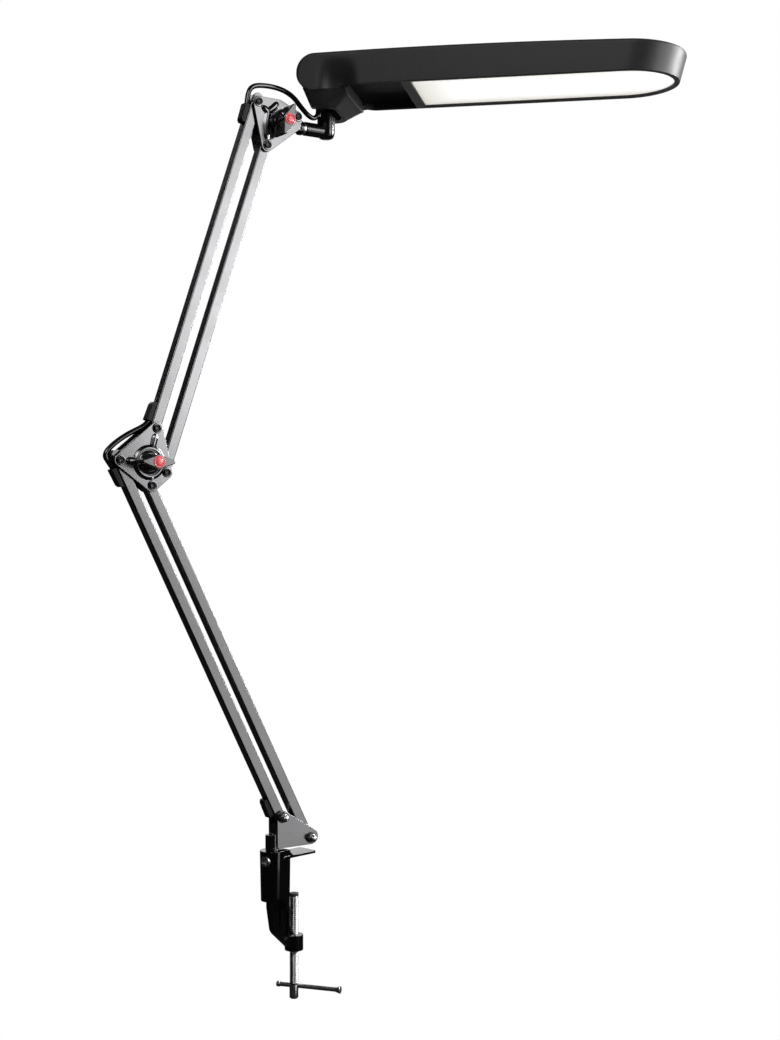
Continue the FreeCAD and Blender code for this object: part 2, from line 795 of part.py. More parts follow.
def elbow_circles():
    r = cheek_corner_radius
    return [(elbow_bottom[0], elbow_bottom[1], r), (elbow_right[0], elbow_right[1], r),
            (elbow_top[0], elbow_top[1], r), (elbow_left[0], elbow_left[1], r)]


def pierce(body, places, radius):
    for x, z in places:
        body = body.cut(across(radius, x, z, -40, 40))
    return body


def elbow_front_cheek():
    places = [elbow_bottom, elbow_right, elbow_top, elbow_left]
    plate = hull_plate(elbow_circles(), -cheek_outer_y, -cheek_inner_y)
    ribs = raised_ribs(elbow_knob, places, -cheek_outer_y - rib_height, -cheek_outer_y, True)
    pad = across(wing_foot_radius, elbow_knob[0], elbow_knob[1], -cheek_outer_y - rib_height, -cheek_outer_y)
    body = fuse_all([plate, ribs, pad])
    body = pierce(body, places, pivot_radius)
    return pierce(body, [elbow_knob], clamp_bolt_radius + running_fit)


def elbow_rear_cheek():
    places = [elbow_bottom, elbow_right, elbow_top, elbow_left]
    plate = hull_plate(elbow_circles(), cheek_inner_y, cheek_outer_y)
    ribs = raised_ribs(elbow_knob, places, cheek_outer_y, cheek_outer_y + rib_height, True)
    spacer = across(clamp_bolt_radius + 3.2, elbow_knob[0], elbow_knob[1], -cheek_inner_y, cheek_inner_y + 1)
    body = fuse_all([plate, ribs, spacer])
    body = pierce(body, places, pivot_radius)
    body = pierce(body, [lower_stud, upper_stud], spring_stud_radius)
    return pierce(body, [elbow_knob], clamp_bolt_radius)


def cheek_screws(places):
    out = []
    front = -cheek_outer_y - rib_height
    back = cheek_outer_y + rib_height
    for x, z in places:
        head = across(screw_head_radius, x, z, front - screw_head_height, front)
        socket = across(screw_head_radius * 0.5, x, z, front - screw_head_height - 1, front - 0.7)
        shank = across(pivot_radius, x, z, front, back)
        out.append(head.cut(socket).fuse(shank).removeSplitter())
    return Part.makeCompound(out)


def elbow_spring_studs():
    return Part.makeCompound([across(spring_stud_radius, x, z, -cheek_inner_y, cheek_outer_y)
                              for x, z in (lower_stud, upper_stud)])


def clamp_bolt(centre):
    """Bolt whose head lies on the rear cheek, inside its ring of ribs."""
    x, z = centre
    y_end = -cheek_outer_y - rib_height - wing_standoff - wing_depth + 3.0
    shank = across(clamp_bolt_radius, x, z, y_end, cheek_outer_y)
    head = hexagon(clamp_bolt_head_radius, x, z, cheek_outer_y, cheek_outer_y + clamp_bolt_head_height)
    return shank.fuse(head).removeSplitter()


def wing_knob(centre, angle):
    """Diamond wing on a round foot, open for the bolt and for the cap."""
    x, z = centre
    foot_y = -cheek_outer_y - rib_height - fit_gap
    body_y = -cheek_outer_y - rib_height - wing_standoff
    front_y = body_y - wing_depth
    half_l, half_w = wing_length / 2, wing_width / 2
    corners = [(half_l, 0, wing_tip_radius), (0, half_w, 9.0), (-half_l, 0, wing_tip_radius), (0, -half_w, 9.0)]
    wing = plate_xz(corners, front_y, body_y)
    waist = across(half_w, 0, 0, front_y, body_y)
    foot = across(wing_foot_radius, 0, 0, body_y - 2.0, foot_y)
    body = fuse_all([wing, waist, foot])
    body = body.cut(across(clamp_bolt_radius + running_fit, 0, 0, front_y + 2.4, foot_y + 1))
    body = body.cut(across(knob_cap_radius - 1.0, 0, 0, front_y - 1, front_y + 1.6))
    body.rotate(V(0, 0, 0), V(0, 1, 0), -angle)
    body.translate(V(x, 0, z))
    return body


def knob_cap(centre):
    x, z = centre
    front_y = -cheek_outer_y - rib_height - wing_standoff - wing_depth
    plug = across(knob_cap_radius - 1.0, x, z, front_y, front_y + 1.6)
    disc = across(knob_cap_radius, x, z, front_y - knob_cap_height + 1.0, front_y)
    dome = Part.makeSphere(20.0, V(x, front_y - knob_cap_height + 0.3 + 20.0, z))
    return fuse_all([plug, disc.common(dome)])


def head_circles():
    x, z = head_rear
    return [(head_front[0], head_front[1], cheek_corner_radius), (x + third_screw_x - 1.2, z - 16.0, 4.3),
            (head_third[0], head_third[1], 4.8), (x + 21.5, z + 0.3, 4.6), (x, z, 5.2)]


def head_joint_front_cheek():
    places = [head_front, head_third, head_rear]
    plate = hull_plate(head_circles(), -cheek_outer_y, -cheek_inner_y)
    ribs = raised_ribs(head_knob, places, -cheek_outer_y - rib_height, -cheek_outer_y, False)
    pad = across(wing_foot_radius + 1, head_knob[0], head_knob[1], -cheek_outer_y - rib_height, -cheek_outer_y)
    outline = hull_plate(head_circles(), -cheek_outer_y - 5, cheek_outer_y)
    body = fuse_all([plate, ribs.common(outline), pad])
    body = pierce(body, places, pivot_radius)
    return pierce(body, [head_knob], clamp_bolt_radius + running_fit)


def head_joint_rear_cheek():
    places = [head_front, head_third, head_rear]
    plate = hull_plate(head_circles(), cheek_inner_y, cheek_outer_y)
    ribs = raised_ribs(head_knob, places, cheek_outer_y, cheek_outer_y + rib_height, False)
    outline = hull_plate(head_circles(), 0, cheek_outer_y + 5)
    body = fuse_all([plate, ribs.common(outline)])
    body = pierce(body, places, pivot_radius)
    return pierce(body, [head_knob], clamp_bolt_radius)


def head_joint_washers():
    out = [friction_washers([head_rear, head_front])]
    x, z = head_knob
    for y0, y1 in ((-cheek_inner_y, -tube_depth / 2), (tube_depth / 2, cheek_inner_y)):
        out.append(washer_across(tongue_radius - 1.5, clamp_bolt_radius, x, z, y0, y1))
    return Part.makeCompound(out)


# Head tilt tongue and bracket

def tilt_tongue():
    x, z = head_knob
    axis_z = bracket_axis_z
    half = tube_depth / 2
    disc = across(tongue_radius, x, z, -half, half)
    neck = box(x, x + tongue_collar_start + 1, -half, half, axis_z - tongue_neck_half_height,
               axis_z + tongue_neck_half_height)
    collar = cylinder(bracket_radius + 0.2, tongue_collar_length,
                      (x + tongue_collar_start, 0, axis_z), (1, 0, 0))
    spigot = cylinder(bracket_spigot_radius, bracket_washer_length + 8.0,
                      (x + tongue_collar_start + tongue_collar_length, 0, axis_z), (1, 0, 0))
    body = fuse_all([disc, neck, collar, spigot])
    return body.cut(across(clamp_bolt_radius + running_fit, x, z, -half - 1, half + 1))


def bracket_washer():
    start = head_knob[0] + tongue_collar_start + tongue_collar_length
    return ring(bracket_washer_radius, bracket_spigot_radius, bracket_washer_length,
                (start, 0, bracket_axis_z), (1, 0, 0))


def head_bracket():
    """Stub along the arm plane, round corner, and the upright post of the head's swivel."""
    z = bracket_axis_z
    start = head_knob[0] + tongue_collar_start + tongue_collar_length + bracket_washer_length
    corner = head_knob[0] + bracket_post_offset
    stub = cylinder(bracket_radius, corner - start, (start, 0, z), (1, 0, 0))
    knee = Part.makeSphere(bracket_radius + 0.2, V(corner, 0, z))
    post = cylinder(head_post_radius, head_post_shoulder - fit_gap, (corner, 0, z), (0, 0, 1))
    spigot = cylinder(head_spigot_radius, head_post_shoulder + head_spigot_length, (corner, 0, z), (0, 0, 1))
    body = fuse_all([stub, knee, post, spigot])
    return body.cut(cylinder(bracket_spigot_radius, 8.0, (start, 0, z), (1, 0, 0)))


def bracket_post_nut():
    x = head_knob[0] + bracket_post_offset
    top = bracket_axis_z + bearing_floor_z + fit_gap
    corners = []
    for k in range(6):
        c, s = unit(60 * k)
        corners.append((x + head_nut_radius * c, head_nut_radius * s, 0))
    nut = plate_xy(corners, top, top + head_nut_height)
    return nut.cut(cylinder(head_spigot_radius, head_nut_height, (x, 0, top), (0, 0, 1)))


# Light head, modelled in its own frame with the swivel axis at x = y = 0

def underside(x):
    return underside_start_z + underside_slope * (x - underside_start_x)


def crown_radius():
    """Radius of the top's crown, tangent to the round nose."""
    rise = head_crown_z - head_nose_centre_z
    return (head_crown_x ** 2 + rise ** 2 - head_nose_radius ** 2) / (2 * (rise - head_nose_radius))


def head_top_at(x):
    """Height of the crowned top over a point of the head's centre line."""
    radius = crown_radius()
    return head_crown_z - radius + math.sqrt(radius ** 2 - (x - head_crown_x) ** 2)


def nose_touch(radius):
    """Angle and point at which the nose arc runs into the crown."""
    tilt = math.pi / 2 + math.asin(head_crown_x / (crown_radius() - head_nose_radius))
    return tilt, V(radius * math.cos(tilt), 0, head_nose_centre_z + radius * math.sin(tilt))


def head_side_profile(inset):
    """Side view of the head: round nose, slightly crowned top, rising underside."""
    radius = head_nose_radius - inset
    end = head_reach + 10
    touch = nose_touch(radius)[1]
    heel = V(0, 0, head_nose_centre_z - radius)
    last = V(end, 0, head_top_at(end) - inset)
    foot = V(end, 0, underside(end) + inset)
    bend = V(underside_start_x, 0, underside_start_z + inset)
    return Part.Wire([
        Part.Arc(heel, V(-radius, 0, head_nose_centre_z), touch).toShape(),
        Part.Arc(touch, V(head_crown_x, 0, head_crown_z - inset), last).toShape(),
        Part.LineSegment(last, foot).toShape(),
        Part.LineSegment(foot, bend).toShape(),
        Part.LineSegment(bend, heel).toShape(),
    ])


def head_blank_profile():
    """Side view of a deeper blank whose nose runs straight down, for rounding its top edge."""
    radius = head_nose_radius
    end = head_reach + 10
    tilt, touch = nose_touch(radius)
    side = (tilt + math.pi) / 2
    nose = V(-radius, 0, head_nose_centre_z)
    middle = V(radius * math.cos(side), 0, head_nose_centre_z + radius * math.sin(side))
    last = V(end, 0, head_top_at(end))
    return Part.Wire([
        Part.LineSegment(V(-radius, 0, 0), nose).toShape(),
        Part.Arc(nose, middle, touch).toShape(),
        Part.Arc(touch, V(head_crown_x, 0, head_crown_z), last).toShape(),
        Part.LineSegment(last, V(end, 0, 0)).toShape(),
        Part.LineSegment(V(end, 0, 0), V(-radius, 0, 0)).toShape(),
    ])


def head_plan(z, inset):
    """Plan of the head at height z: square tail, round forward end, sides with draft."""
    level = z - underside_start_z
    half = head_half_width + head_side_draft * level - inset
    end = head_reach - head_end_draft * (head_crown_z - z) - inset
    centre = end - half
    tail = -head_nose_radius - 5
    edges = [
        Part.LineSegment(V(tail, -half, z), V(centre, -half, z)).toShape(),
        Part.Arc(V(centre, -half, z), V(end, 0, z), V(centre, half, z)).toShape(),
        Part.LineSegment(V(centre, half, z), V(tail, half, z)).toShape(),
        Part.LineSegment(V(tail, half, z), V(tail, -half, z)).toShape(),
    ]
    return Part.Wire(edges)


def side_prism(profile):
    prism = Part.Face(profile).extrude(V(0, 4 * head_half_width, 0))
    prism.translate(V(0, -2 * head_half_width, 0))
    return prism


def plan_form(inset):
    return Part.makeLoft([head_plan(hub_bottom_z, inset), head_plan(head_crown_z + 5, inset)], True, True)


def head_form(inset):
    return side_prism(head_side_profile(inset)).common(plan_form(inset))


def rounded_head_form():
    """Outer form with its top edge rounded along both sides, the nose and the end."""
    blank = side_prism(head_blank_profile()).common(plan_form(0))
    top = [edge for edge in blank.Edges
           if edge.BoundBox.ZMin > head_nose_centre_z and edge.BoundBox.XLength > head_nose_radius]
    return blank.makeFillet(head_edge_radius, top).common(side_prism(head_side_profile(0)))


def hub_wire(share, front_x, side_inset):
    """Plan of the hub at a share of its height, as a rectangle with rounded corners."""
    z = hub_bottom_z + (underside_start_z - hub_bottom_z) * share
    half = head_half_width - side_inset
    rear_x = hub_rear_x - hub_rear_lean * share
    front = hub_front_corner
    rear = hub_rear_corner
    return rounded_wire([(rear_x, -half, rear), (front_x, -half, front), (front_x, half, front),
                         (rear_x, half, rear)], lambda a, b: V(a, b, z))


def hub_form():
    """Swell under the tail that narrows from the full width to the hub's rim."""
    last = len(hub_sections) - 1
    wires = [hub_wire(k / last, front_x, inset) for k, (front_x, inset) in enumerate(hub_sections)]
    return Part.makeLoft(wires, True, False)


def plan_prism(inset, x0, z0, z1):
    """Upright prism of the head's plan at the underside, from x0 to the end."""
    prism = Part.Face(head_plan(underside_start_z, inset)).extrude(V(0, 0, z1 - z0))
    prism.translate(V(0, 0, z0 - underside_start_z))
    return prism.common(box(x0, head_reach + 5, -head_half_width - 5, head_half_width + 5, z0 - 1, z1 + 1))


def under_strip(x0, x1, half, low, high):
    """Strip that follows the underside between two heights above it."""
    face = Part.Face(Part.makePolygon([V(x0, -half, underside(x0) + low), V(x1, -half, underside(x1) + low),
                                       V(x1, -half, underside(x1) + high), V(x0, -half, underside(x0) + high),
                                       V(x0, -half, underside(x0) + low)]))
    return face.extrude(V(0, 2 * half, 0))


def head_housing():
    """Shell with the rim round the light window, the driver recess and the swivel bearing."""
    outer = fuse_all([rounded_head_form(), hub_form()])
    cavity = head_form(head_wall)
    floor = box(-head_half_width, recess_start_x, -head_half_width, head_half_width, 0, bearing_floor_z)
    cavity = cavity.cut(floor)
    body = outer.cut(cavity)
    body = body.cut(plan_prism(rim_width, window_start_x, 0, head_nose_centre_z - 3))
    half = head_half_width - recess_side_land
    recess = box(recess_start_x, recess_end_x, -half, half, 0, head_nose_centre_z - 3)
    body = body.cut(recess)
    side = hub_bay_half_width
    corner = hub_bay_corner_radius
    bay_wire = rounded_wire([(-head_half_width, -side, 0), (hub_bay_front_x, -side, corner),
                             (hub_bay_front_x, side, corner), (-head_half_width, side, 0)],
                            lambda a, b: V(a, b, 0))
    bay = Part.Face(bay_wire).extrude(V(0, 0, head_post_shoulder))
    top_cut = cylinder(head_spigot_radius + running_fit, bearing_floor_z + 2, (0, 0, 0), (0, 0, 1))
    body = body.cut(bay).cut(top_cut)
    half_length = switch_length / 2 + switch_clearance
    half_width = switch_width / 2 + switch_clearance
    window = box(switch_x - half_length, switch_x + half_length, -half_width, half_width,
                 head_crown_z - 8, head_crown_z + 10)
    return body.cut(window).removeSplitter()


def head_bottom_cover():
    """Shallow tray turned over, whose walls stand on the land round the recess."""
    half = head_half_width - recess_side_land
    outer = under_strip(recess_start_x, recess_end_x + cover_wall, half + cover_wall, head_wall,
                        recess_depth + cover_thickness)
    inner = under_strip(recess_start_x - 1, recess_end_x, half, head_wall - 1, recess_depth)
    return outer.cut(inner)


def light_diffuser():
    """Opal plate that lies on the rim, round at its forward end."""
    start_x = window_start_x - diffuser_lap
    strip = under_strip(start_x, head_reach, head_half_width, head_wall, head_wall + diffuser_thickness)
    plan = plan_prism(head_wall + diffuser_edge_gap, start_x, 0, head_crown_z)
    return strip.common(plan)


def led_board():
    """Board on pegs that stand on the diffuser."""
    seat = head_wall + diffuser_thickness
    lift = seat + board_standoff
    strip = under_strip(window_start_x, head_reach, head_half_width, lift, lift + board_thickness)
    board = strip.common(plan_prism(rim_width + board_end_gap, window_start_x, 0, head_crown_z))
    pegs = [cylinder(board_peg_radius, board_standoff, (x, y, underside(x) + seat), (0, 0, 1))
            for x in (window_start_x + 10, (window_start_x + head_reach) / 2, head_reach - head_half_width)
            for y in (-board_peg_side, board_peg_side)]
    return fuse_all([board] + pegs)


def driver_board():
    """Board on four legs that stand on the cover, with its coil."""
    x0 = recess_start_x + board_end_gap
    x1 = recess_end_x - board_end_gap
    half = driver_board_half_width
    top = head_nose_centre_z + board_thickness
    board = box(x0, x1, -half, half, head_nose_centre_z, top)
    coil_x = x0 + (x1 - x0) / 3
    coil = box(coil_x - coil_half, coil_x + coil_half, -coil_half, coil_half, top, top + coil_height)
    side = half - 2 * board_peg_radius
    legs = [cylinder(board_peg_radius, head_nose_centre_z - underside(x) - recess_depth - cover_thickness,
                     (x, y, underside(x) + recess_depth + cover_thickness), (0, 0, 1))
            for x in (x0 + 2 * board_peg_radius, x1 - 2 * board_peg_radius) for y in (-side, side)]
    return fuse_all([board, coil] + legs)


def switch_body():
    top = head_top_at(switch_x) - head_wall
    half_length = switch_length / 2
    half_width = switch_width / 2
    outer = box(switch_x - half_length - switch_wall, switch_x + half_length + switch_wall,
                -half_width - switch_wall, half_width + switch_wall, top - switch_depth, top - 0.15)
    inner = box(switch_x - half_length - switch_clearance, switch_x + half_length + switch_clearance,
                -half_width - switch_clearance, half_width + switch_clearance, top - switch_depth + 2, top)
    return outer.cut(inner)


def rocker_switch():
    """Rocker with a shallow hollow top, on its pin across the switch."""
    top = head_top_at(switch_x) + switch_proud
    half = switch_length / 2 - 0.4
    x = switch_x
    corners = [(x - half, top - 5.5, 0), (x + half, top - 5.5, 0), (x + half, top, 0.8), (x, top - 0.9, 12.0),
               (x - half, top, 0.8)]
    cap = plate_xz(corners, -switch_width / 2 + 0.2, switch_width / 2 - 0.2)
    pin = across(1.2, x, top - 4.6, -switch_width / 2 - switch_clearance, switch_width / 2 + switch_clearance)
    return cap.fuse(pin).removeSplitter()


# Leads that loop over the joints

def lead_route(start, points, pivot, finish, name):
    """Lead from one place to another by way of points stated from a pivot."""
    x, z = pivot
    route = [(start[0], 0, start[1])] + [(x + a, 0, z + b) for a, b in points]
    return tube_path(route + [(finish[0], 0, finish[1])], lead_diameter / 2, name)


def elbow_lead():
    start = lower_rear_line.at(*hood_mouth(lower_arm_length, True)[0])
    finish = upper_rear_line.at(*hood_mouth(upper_arm_length, False)[0])
    points = [(-7.2, -2.0), (-11.4, 4.4), (-4.4, 12.6), (9.6, 22.2), (27.2, 30.2)]
    return lead_route(start, points, elbow_left, finish, "elbow_lead")


def head_lead():
    start = upper_rear_line.at(*hood_mouth(upper_arm_length, True)[0])
    finish = (head_rear[0] + 65.9, bracket_axis_z + head_post_shoulder)
    points = [(-6.8, 6.2), (-2.4, 15.2), (11.0, 17.6), (27.0, 16.9), (39.4, 12.2), (47.6, 3.8), (55.4, -3.2),
              (61.8, -5.2), (66.0, -1.0), (65.9, 6.0)]
    return lead_route(start, points, head_rear, finish, "head_lead")


# Placing

def in_arm_plane(shape):
    """From the arms' own plane to the part's frame."""
    moved = shape.copy()
    moved.rotate(V(0, 0, 0), V(0, 0, 1), arm_plane_azimuth)
    moved.translate(V(-post_to_screw, 0, 0))
    return moved


def in_head(shape):
    """From the head's own frame to the part's frame."""
    moved = shape.copy()
    moved.rotate(V(0, 0, 0), V(0, 0, 1), head_azimuth)
    moved.translate(V(head_knob[0] + bracket_post_offset, 0, bracket_axis_z))
    return in_arm_plane(moved)


def arm_nodes():
    nodes = {}
    lower = box_tube(lower_arm_length, tube_end_past_pivot, tube_tail_past_pivot)
    upper = box_tube(upper_arm_length, tube_end_past_pivot, tube_tail_past_pivot)
    nodes["lower_rear_tube"] = lower_rear_line.place(lead_slots(lower, lower_arm_length))
    nodes["upper_rear_tube"] = upper_rear_line.place(lead_slots(upper, upper_arm_length))
    for name, line, length, from_top, stud in (
            ("lower", lower_front_line, lower_arm_length, True, lower_stud),
            ("upper", upper_front_line, upper_arm_length, False, upper_stud)):
        tube = box_tube(length, tube_end_past_pivot, tube_end_past_pivot)
        spring, pin = spring_set(line, length, from_top)
        nodes[name + "_front_tube"] = line.place(tube).cut(pin)
        nodes[name + "_spring"] = spring
        nodes[name + "_spring_pin"] = pin
        nodes[name + "_spring_cable"] = spring_cable(line, length, from_top, stud)
        nodes[name + "_front_bushes"] = line.place(pivot_bushes(length))
    for name, line, length in (("lower", lower_rear_line, lower_arm_length),
                               ("upper", upper_rear_line, upper_arm_length)):
        nodes[name + "_rear_bushes"] = line.place(pivot_bushes(length))
        nodes[name + "_foot_cable_hood"] = line.place(cable_hood(0))
        nodes[name + "_top_cable_hood"] = line.place(cable_hood(length))
        nodes[name + "_tube_lead"] = tube_lead(line, length, name + "_tube_lead")
    return nodes


def joint_nodes():
    elbow_pivots = [elbow_left, elbow_bottom, elbow_top, elbow_right]
    return {
        "base_bracket": base_bracket(),
        "swivel_post": swivel_post(),
        "base_pivot_bolts": base_pivot_bolts(),
        "base_dome_nuts": base_dome_nuts(),
        "base_nut_washers": base_nut_washers(),
        "base_friction_washers": friction_washers([base_rear, base_front]),
        "elbow_front_cheek": elbow_front_cheek(),
        "elbow_rear_cheek": elbow_rear_cheek(),
        "elbow_screws": cheek_screws(elbow_pivots),
        "elbow_friction_washers": friction_washers(elbow_pivots),
        "elbow_spring_studs": elbow_spring_studs(),
        "elbow_clamp_bolt": clamp_bolt(elbow_knob),
        "elbow_wing_knob": wing_knob(elbow_knob, elbow_wing_angle),
        "elbow_knob_cap": knob_cap(elbow_knob),
        "head_joint_front_cheek": head_joint_front_cheek(),
        "head_joint_rear_cheek": head_joint_rear_cheek(),
        "head_joint_screws": cheek_screws([head_front, head_third, head_rear]),
        "head_joint_washers": head_joint_washers(),
        "head_clamp_bolt": clamp_bolt(head_knob),
        "head_wing_knob": wing_knob(head_knob, head_wing_angle),
        "head_knob_cap": knob_cap(head_knob),
        "tilt_tongue": tilt_tongue(),
        "bracket_washer": bracket_washer(),
        "head_bracket": head_bracket(),
        "bracket_post_nut": bracket_post_nut(),
        "elbow_lead": elbow_lead(),
        "head_lead": head_lead(),
    }


def all_nodes():
    nodes = {
        "clamp_body": clamp_body(),
        "post_retaining_screw": post_retaining_screw(),
        "clamp_screw": clamp_screw(),
        "clamp_screw_tip": clamp_screw_tip(),
        "tommy_bar": tommy_bar(),
    }
    for name, shape in list(arm_nodes().items()) + list(joint_nodes().items()):
        nodes[name] = in_arm_plane(shape)
    for name, make in (("head_housing", head_housing), ("head_bottom_cover", head_bottom_cover),
                       ("light_diffuser", light_diffuser), ("led_board", led_board),
                       ("driver_board", driver_board), ("switch_body", switch_body),
                       ("rocker_switch", rocker_switch)):
        nodes[name] = in_head(make())
    return nodes


def main():
    os.makedirs("parts", exist_ok=True)
    for name, shape in all_nodes().items():
        shape.exportStep("parts/" + name + ".step")
        print(name, "solids", len(shape.Solids), "valid", shape.isValid(), "volume", round(shape.Volume, 1))


main()
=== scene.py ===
import json
import math

import bpy
from mathutils import Matrix, Vector


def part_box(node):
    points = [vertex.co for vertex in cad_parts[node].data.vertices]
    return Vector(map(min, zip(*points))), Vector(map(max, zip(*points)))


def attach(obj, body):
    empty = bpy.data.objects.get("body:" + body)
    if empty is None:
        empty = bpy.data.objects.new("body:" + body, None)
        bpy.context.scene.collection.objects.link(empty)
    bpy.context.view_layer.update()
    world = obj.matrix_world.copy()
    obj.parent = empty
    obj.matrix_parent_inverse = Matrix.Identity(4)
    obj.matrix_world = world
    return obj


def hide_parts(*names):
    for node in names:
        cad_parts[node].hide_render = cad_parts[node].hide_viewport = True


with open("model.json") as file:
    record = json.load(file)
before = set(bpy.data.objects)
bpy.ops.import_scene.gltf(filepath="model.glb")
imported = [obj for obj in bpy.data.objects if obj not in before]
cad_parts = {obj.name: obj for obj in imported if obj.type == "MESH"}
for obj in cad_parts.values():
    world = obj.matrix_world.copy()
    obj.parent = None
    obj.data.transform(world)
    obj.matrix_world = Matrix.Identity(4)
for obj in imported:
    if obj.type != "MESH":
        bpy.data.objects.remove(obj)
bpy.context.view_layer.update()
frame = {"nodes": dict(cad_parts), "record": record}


# Shader maths

class Signal:
    """A value or colour inside a finish; Python's operators add Math nodes to it."""

    def __init__(self, finish, socket):
        self.finish = finish
        self.socket = socket

    def maths(self, operation, *others):
        return self.finish.node("ShaderNodeMath", {"operation": operation}, dict(enumerate((self, *others))))

    def __add__(self, other):
        return self.maths("ADD", other)

    def __mul__(self, other):
        return self.maths("MULTIPLY", other)

    def __gt__(self, other):
        return self.maths("GREATER_THAN", other)


class Finish:
    """One material: nodes on Object coordinates, in metres, that feed a Principled surface."""

    def __init__(self, name):
        self.material = bpy.data.materials.new(name)
        self.material.use_nodes = True
        self.nodes = self.material.node_tree.nodes
        self.links = self.material.node_tree.links
        self.nodes.clear()
        self.place = self.node("ShaderNodeTexCoord", {}, {}, "Object")

    def node(self, kind, settings, values, output=0):
        made = self.nodes.new(kind)
        for name, value in settings.items():
            setattr(made, name, value)
        for name, value in values.items():
            if isinstance(value, Signal):
                self.links.new(value.socket, made.inputs[name])
            elif isinstance(value, (int, float)):
                made.inputs[name].default_value = value
            elif len(value) == 3 and len(made.inputs[name].default_value) == 4:
                made.inputs[name].default_value = (*value, 1.0)
            else:
                made.inputs[name].default_value = value
        return Signal(self, made.outputs[output])

    def grain(self, size, detail=2.0, roughness=0.5):
        """Cloudy noise with features of about this size in metres."""
        return self.node("ShaderNodeTexNoise", {}, {"Vector": self.place, "Scale": 1.0 / size,
                                                    "Detail": detail, "Roughness": roughness}, "Fac")

    def cells(self, size):
        """Distance from the middle of scattered cells of this size."""
        return self.node("ShaderNodeTexVoronoi", {}, {"Vector": self.place, "Scale": 1.0 / size}, "Distance")

    def ramp(self, signal, low, high, start, end):
        """Straight run from one value to another while the signal goes from low to high."""
        return self.node("ShaderNodeMapRange", {"clamp": True},
                         {"Value": signal, "From Min": low, "From Max": high, "To Min": start, "To Max": end})

    def blend(self, share, first, second):
        """Colour that goes from the first to the second with the share."""
        mixed = self.nodes.new("ShaderNodeMix")
        mixed.data_type = "RGBA"
        sockets = {s.identifier: s for s in mixed.inputs}
        for name, value in (("Factor_Float", share), ("A_Color", first), ("B_Color", second)):
            if isinstance(value, Signal):
                self.links.new(value.socket, sockets[name])
            elif name == "Factor_Float":
                sockets[name].default_value = value
            else:
                sockets[name].default_value = (*value, 1.0)
        return Signal(self, [s for s in mixed.outputs if s.identifier == "Result_Color"][0])

    def relief(self, height, depth, normal=None):
        """Normal of a surface whose height in metres is depth times the signal."""
        values = {"Height": height, "Strength": 1.0, "Distance": depth}
        if normal is not None:
            values["Normal"] = normal
        return self.node("ShaderNodeBump", {}, values, "Normal")

    def surface(self, values):
        """The material, with these values and signals on its Principled shader."""
        shader = self.node("ShaderNodeBsdfPrincipled", {}, values)
        output = self.nodes.new("ShaderNodeOutputMaterial")
        self.links.new(shader.socket, output.inputs["Surface"])
        return self.material


# Finishes

def satin_paint(name, shade, smoothest, roughest, coat, flake=0.0):
    """Sprayed paint: faint orange peel, slow changes of roughness, a little dust; flake 1 is metallic."""
    f = Finish(name)
    slow = f.grain(0.035, 3.0)
    peel = f.grain(0.0011, 2.0)
    dust = f.ramp(f.grain(0.0006, 4.0, 0.7), 0.66, 0.78, 0.0, 1.0)
    base = f.blend(dust * 0.35, (shade, shade, shade * 1.03), (0.04, 0.04, 0.04))
    rough = f.ramp(slow, 0.3, 0.7, smoothest, roughest) + dust * 0.1
    return f.surface({"Base Color": base, "Metallic": flake, "Roughness": rough, "Coat Weight": coat,
                      "Coat Roughness": 0.18, "Specular IOR Level": 0.5, "Normal": f.relief(peel, 0.00002)})


def cast_paint(name):
    """Thick gloss paint over a casting: soft waves and small pits."""
    f = Finish(name)
    wave = f.grain(0.006, 2.0)
    pits = f.ramp(f.cells(0.0016), 0.0, 0.25, 0.0, 1.0)
    dust = f.ramp(f.grain(0.0005, 4.0, 0.7), 0.68, 0.8, 0.0, 1.0)
    base = f.blend(dust * 0.3, (0.001, 0.001, 0.001), (0.02, 0.02, 0.02))
    normal = f.relief(pits, 0.00001, f.relief(wave, 0.00008))
    rough = f.ramp(f.grain(0.02), 0.3, 0.7, 0.12, 0.2)
    return f.surface({"Base Color": base, "Roughness": rough, "Normal": normal, "Specular IOR Level": 0.3,
                      "Coat Weight": 0.8, "Coat Roughness": 0.05})


def plated_steel(name, shade, smoothest, marks_per_metre):
    """Zinc plated steel with turning marks and a few darker patches."""
    f = Finish(name)
    marks = f.node("ShaderNodeMapping", {}, {"Vector": f.place, "Scale": marks_per_metre}, "Vector")
    lines = f.node("ShaderNodeTexNoise", {}, {"Vector": marks, "Scale": 1.0, "Detail": 3.0}, "Fac")
    patch = f.ramp(f.grain(0.004, 3.0), 0.35, 0.7, 0.0, 1.0)
    base = f.blend(patch, (shade, shade, shade * 1.01), (shade * 0.72, shade * 0.71, shade * 0.69))
    rough = f.ramp(lines, 0.3, 0.7, smoothest, smoothest + 0.14)
    return f.surface({"Base Color": base, "Metallic": 1.0, "Roughness": rough,
                      "Normal": f.relief(lines, 0.00001)})


def thread_steel():
    """Plated steel of the upright clamp screw at 0, 0, with painted shade between the crests of its thread,
    where it is near black.
    """
    f = Finish("thread_steel")
    x, y, height = (f.node("ShaderNodeSeparateXYZ", {}, {"Vector": f.place}, axis) for axis in range(3))
    away = (x * x + y * y).maths("SQRT")
    # painted shade: near black towards the thread's roots, above the plain foot
    root_shade = f.ramp(away, 0.00355, 0.0039, 0.85, 0.0) * f.ramp(height, -0.1176, -0.1172, 0.0, 1.0)
    return f.surface({"Base Color": f.blend(root_shade, (0.8, 0.8, 0.81), (0.05, 0.05, 0.05)), "Metallic": 1.0,
                      "Roughness": f.ramp(f.grain(0.002, 3.0), 0.3, 0.7, 0.2, 0.3)})


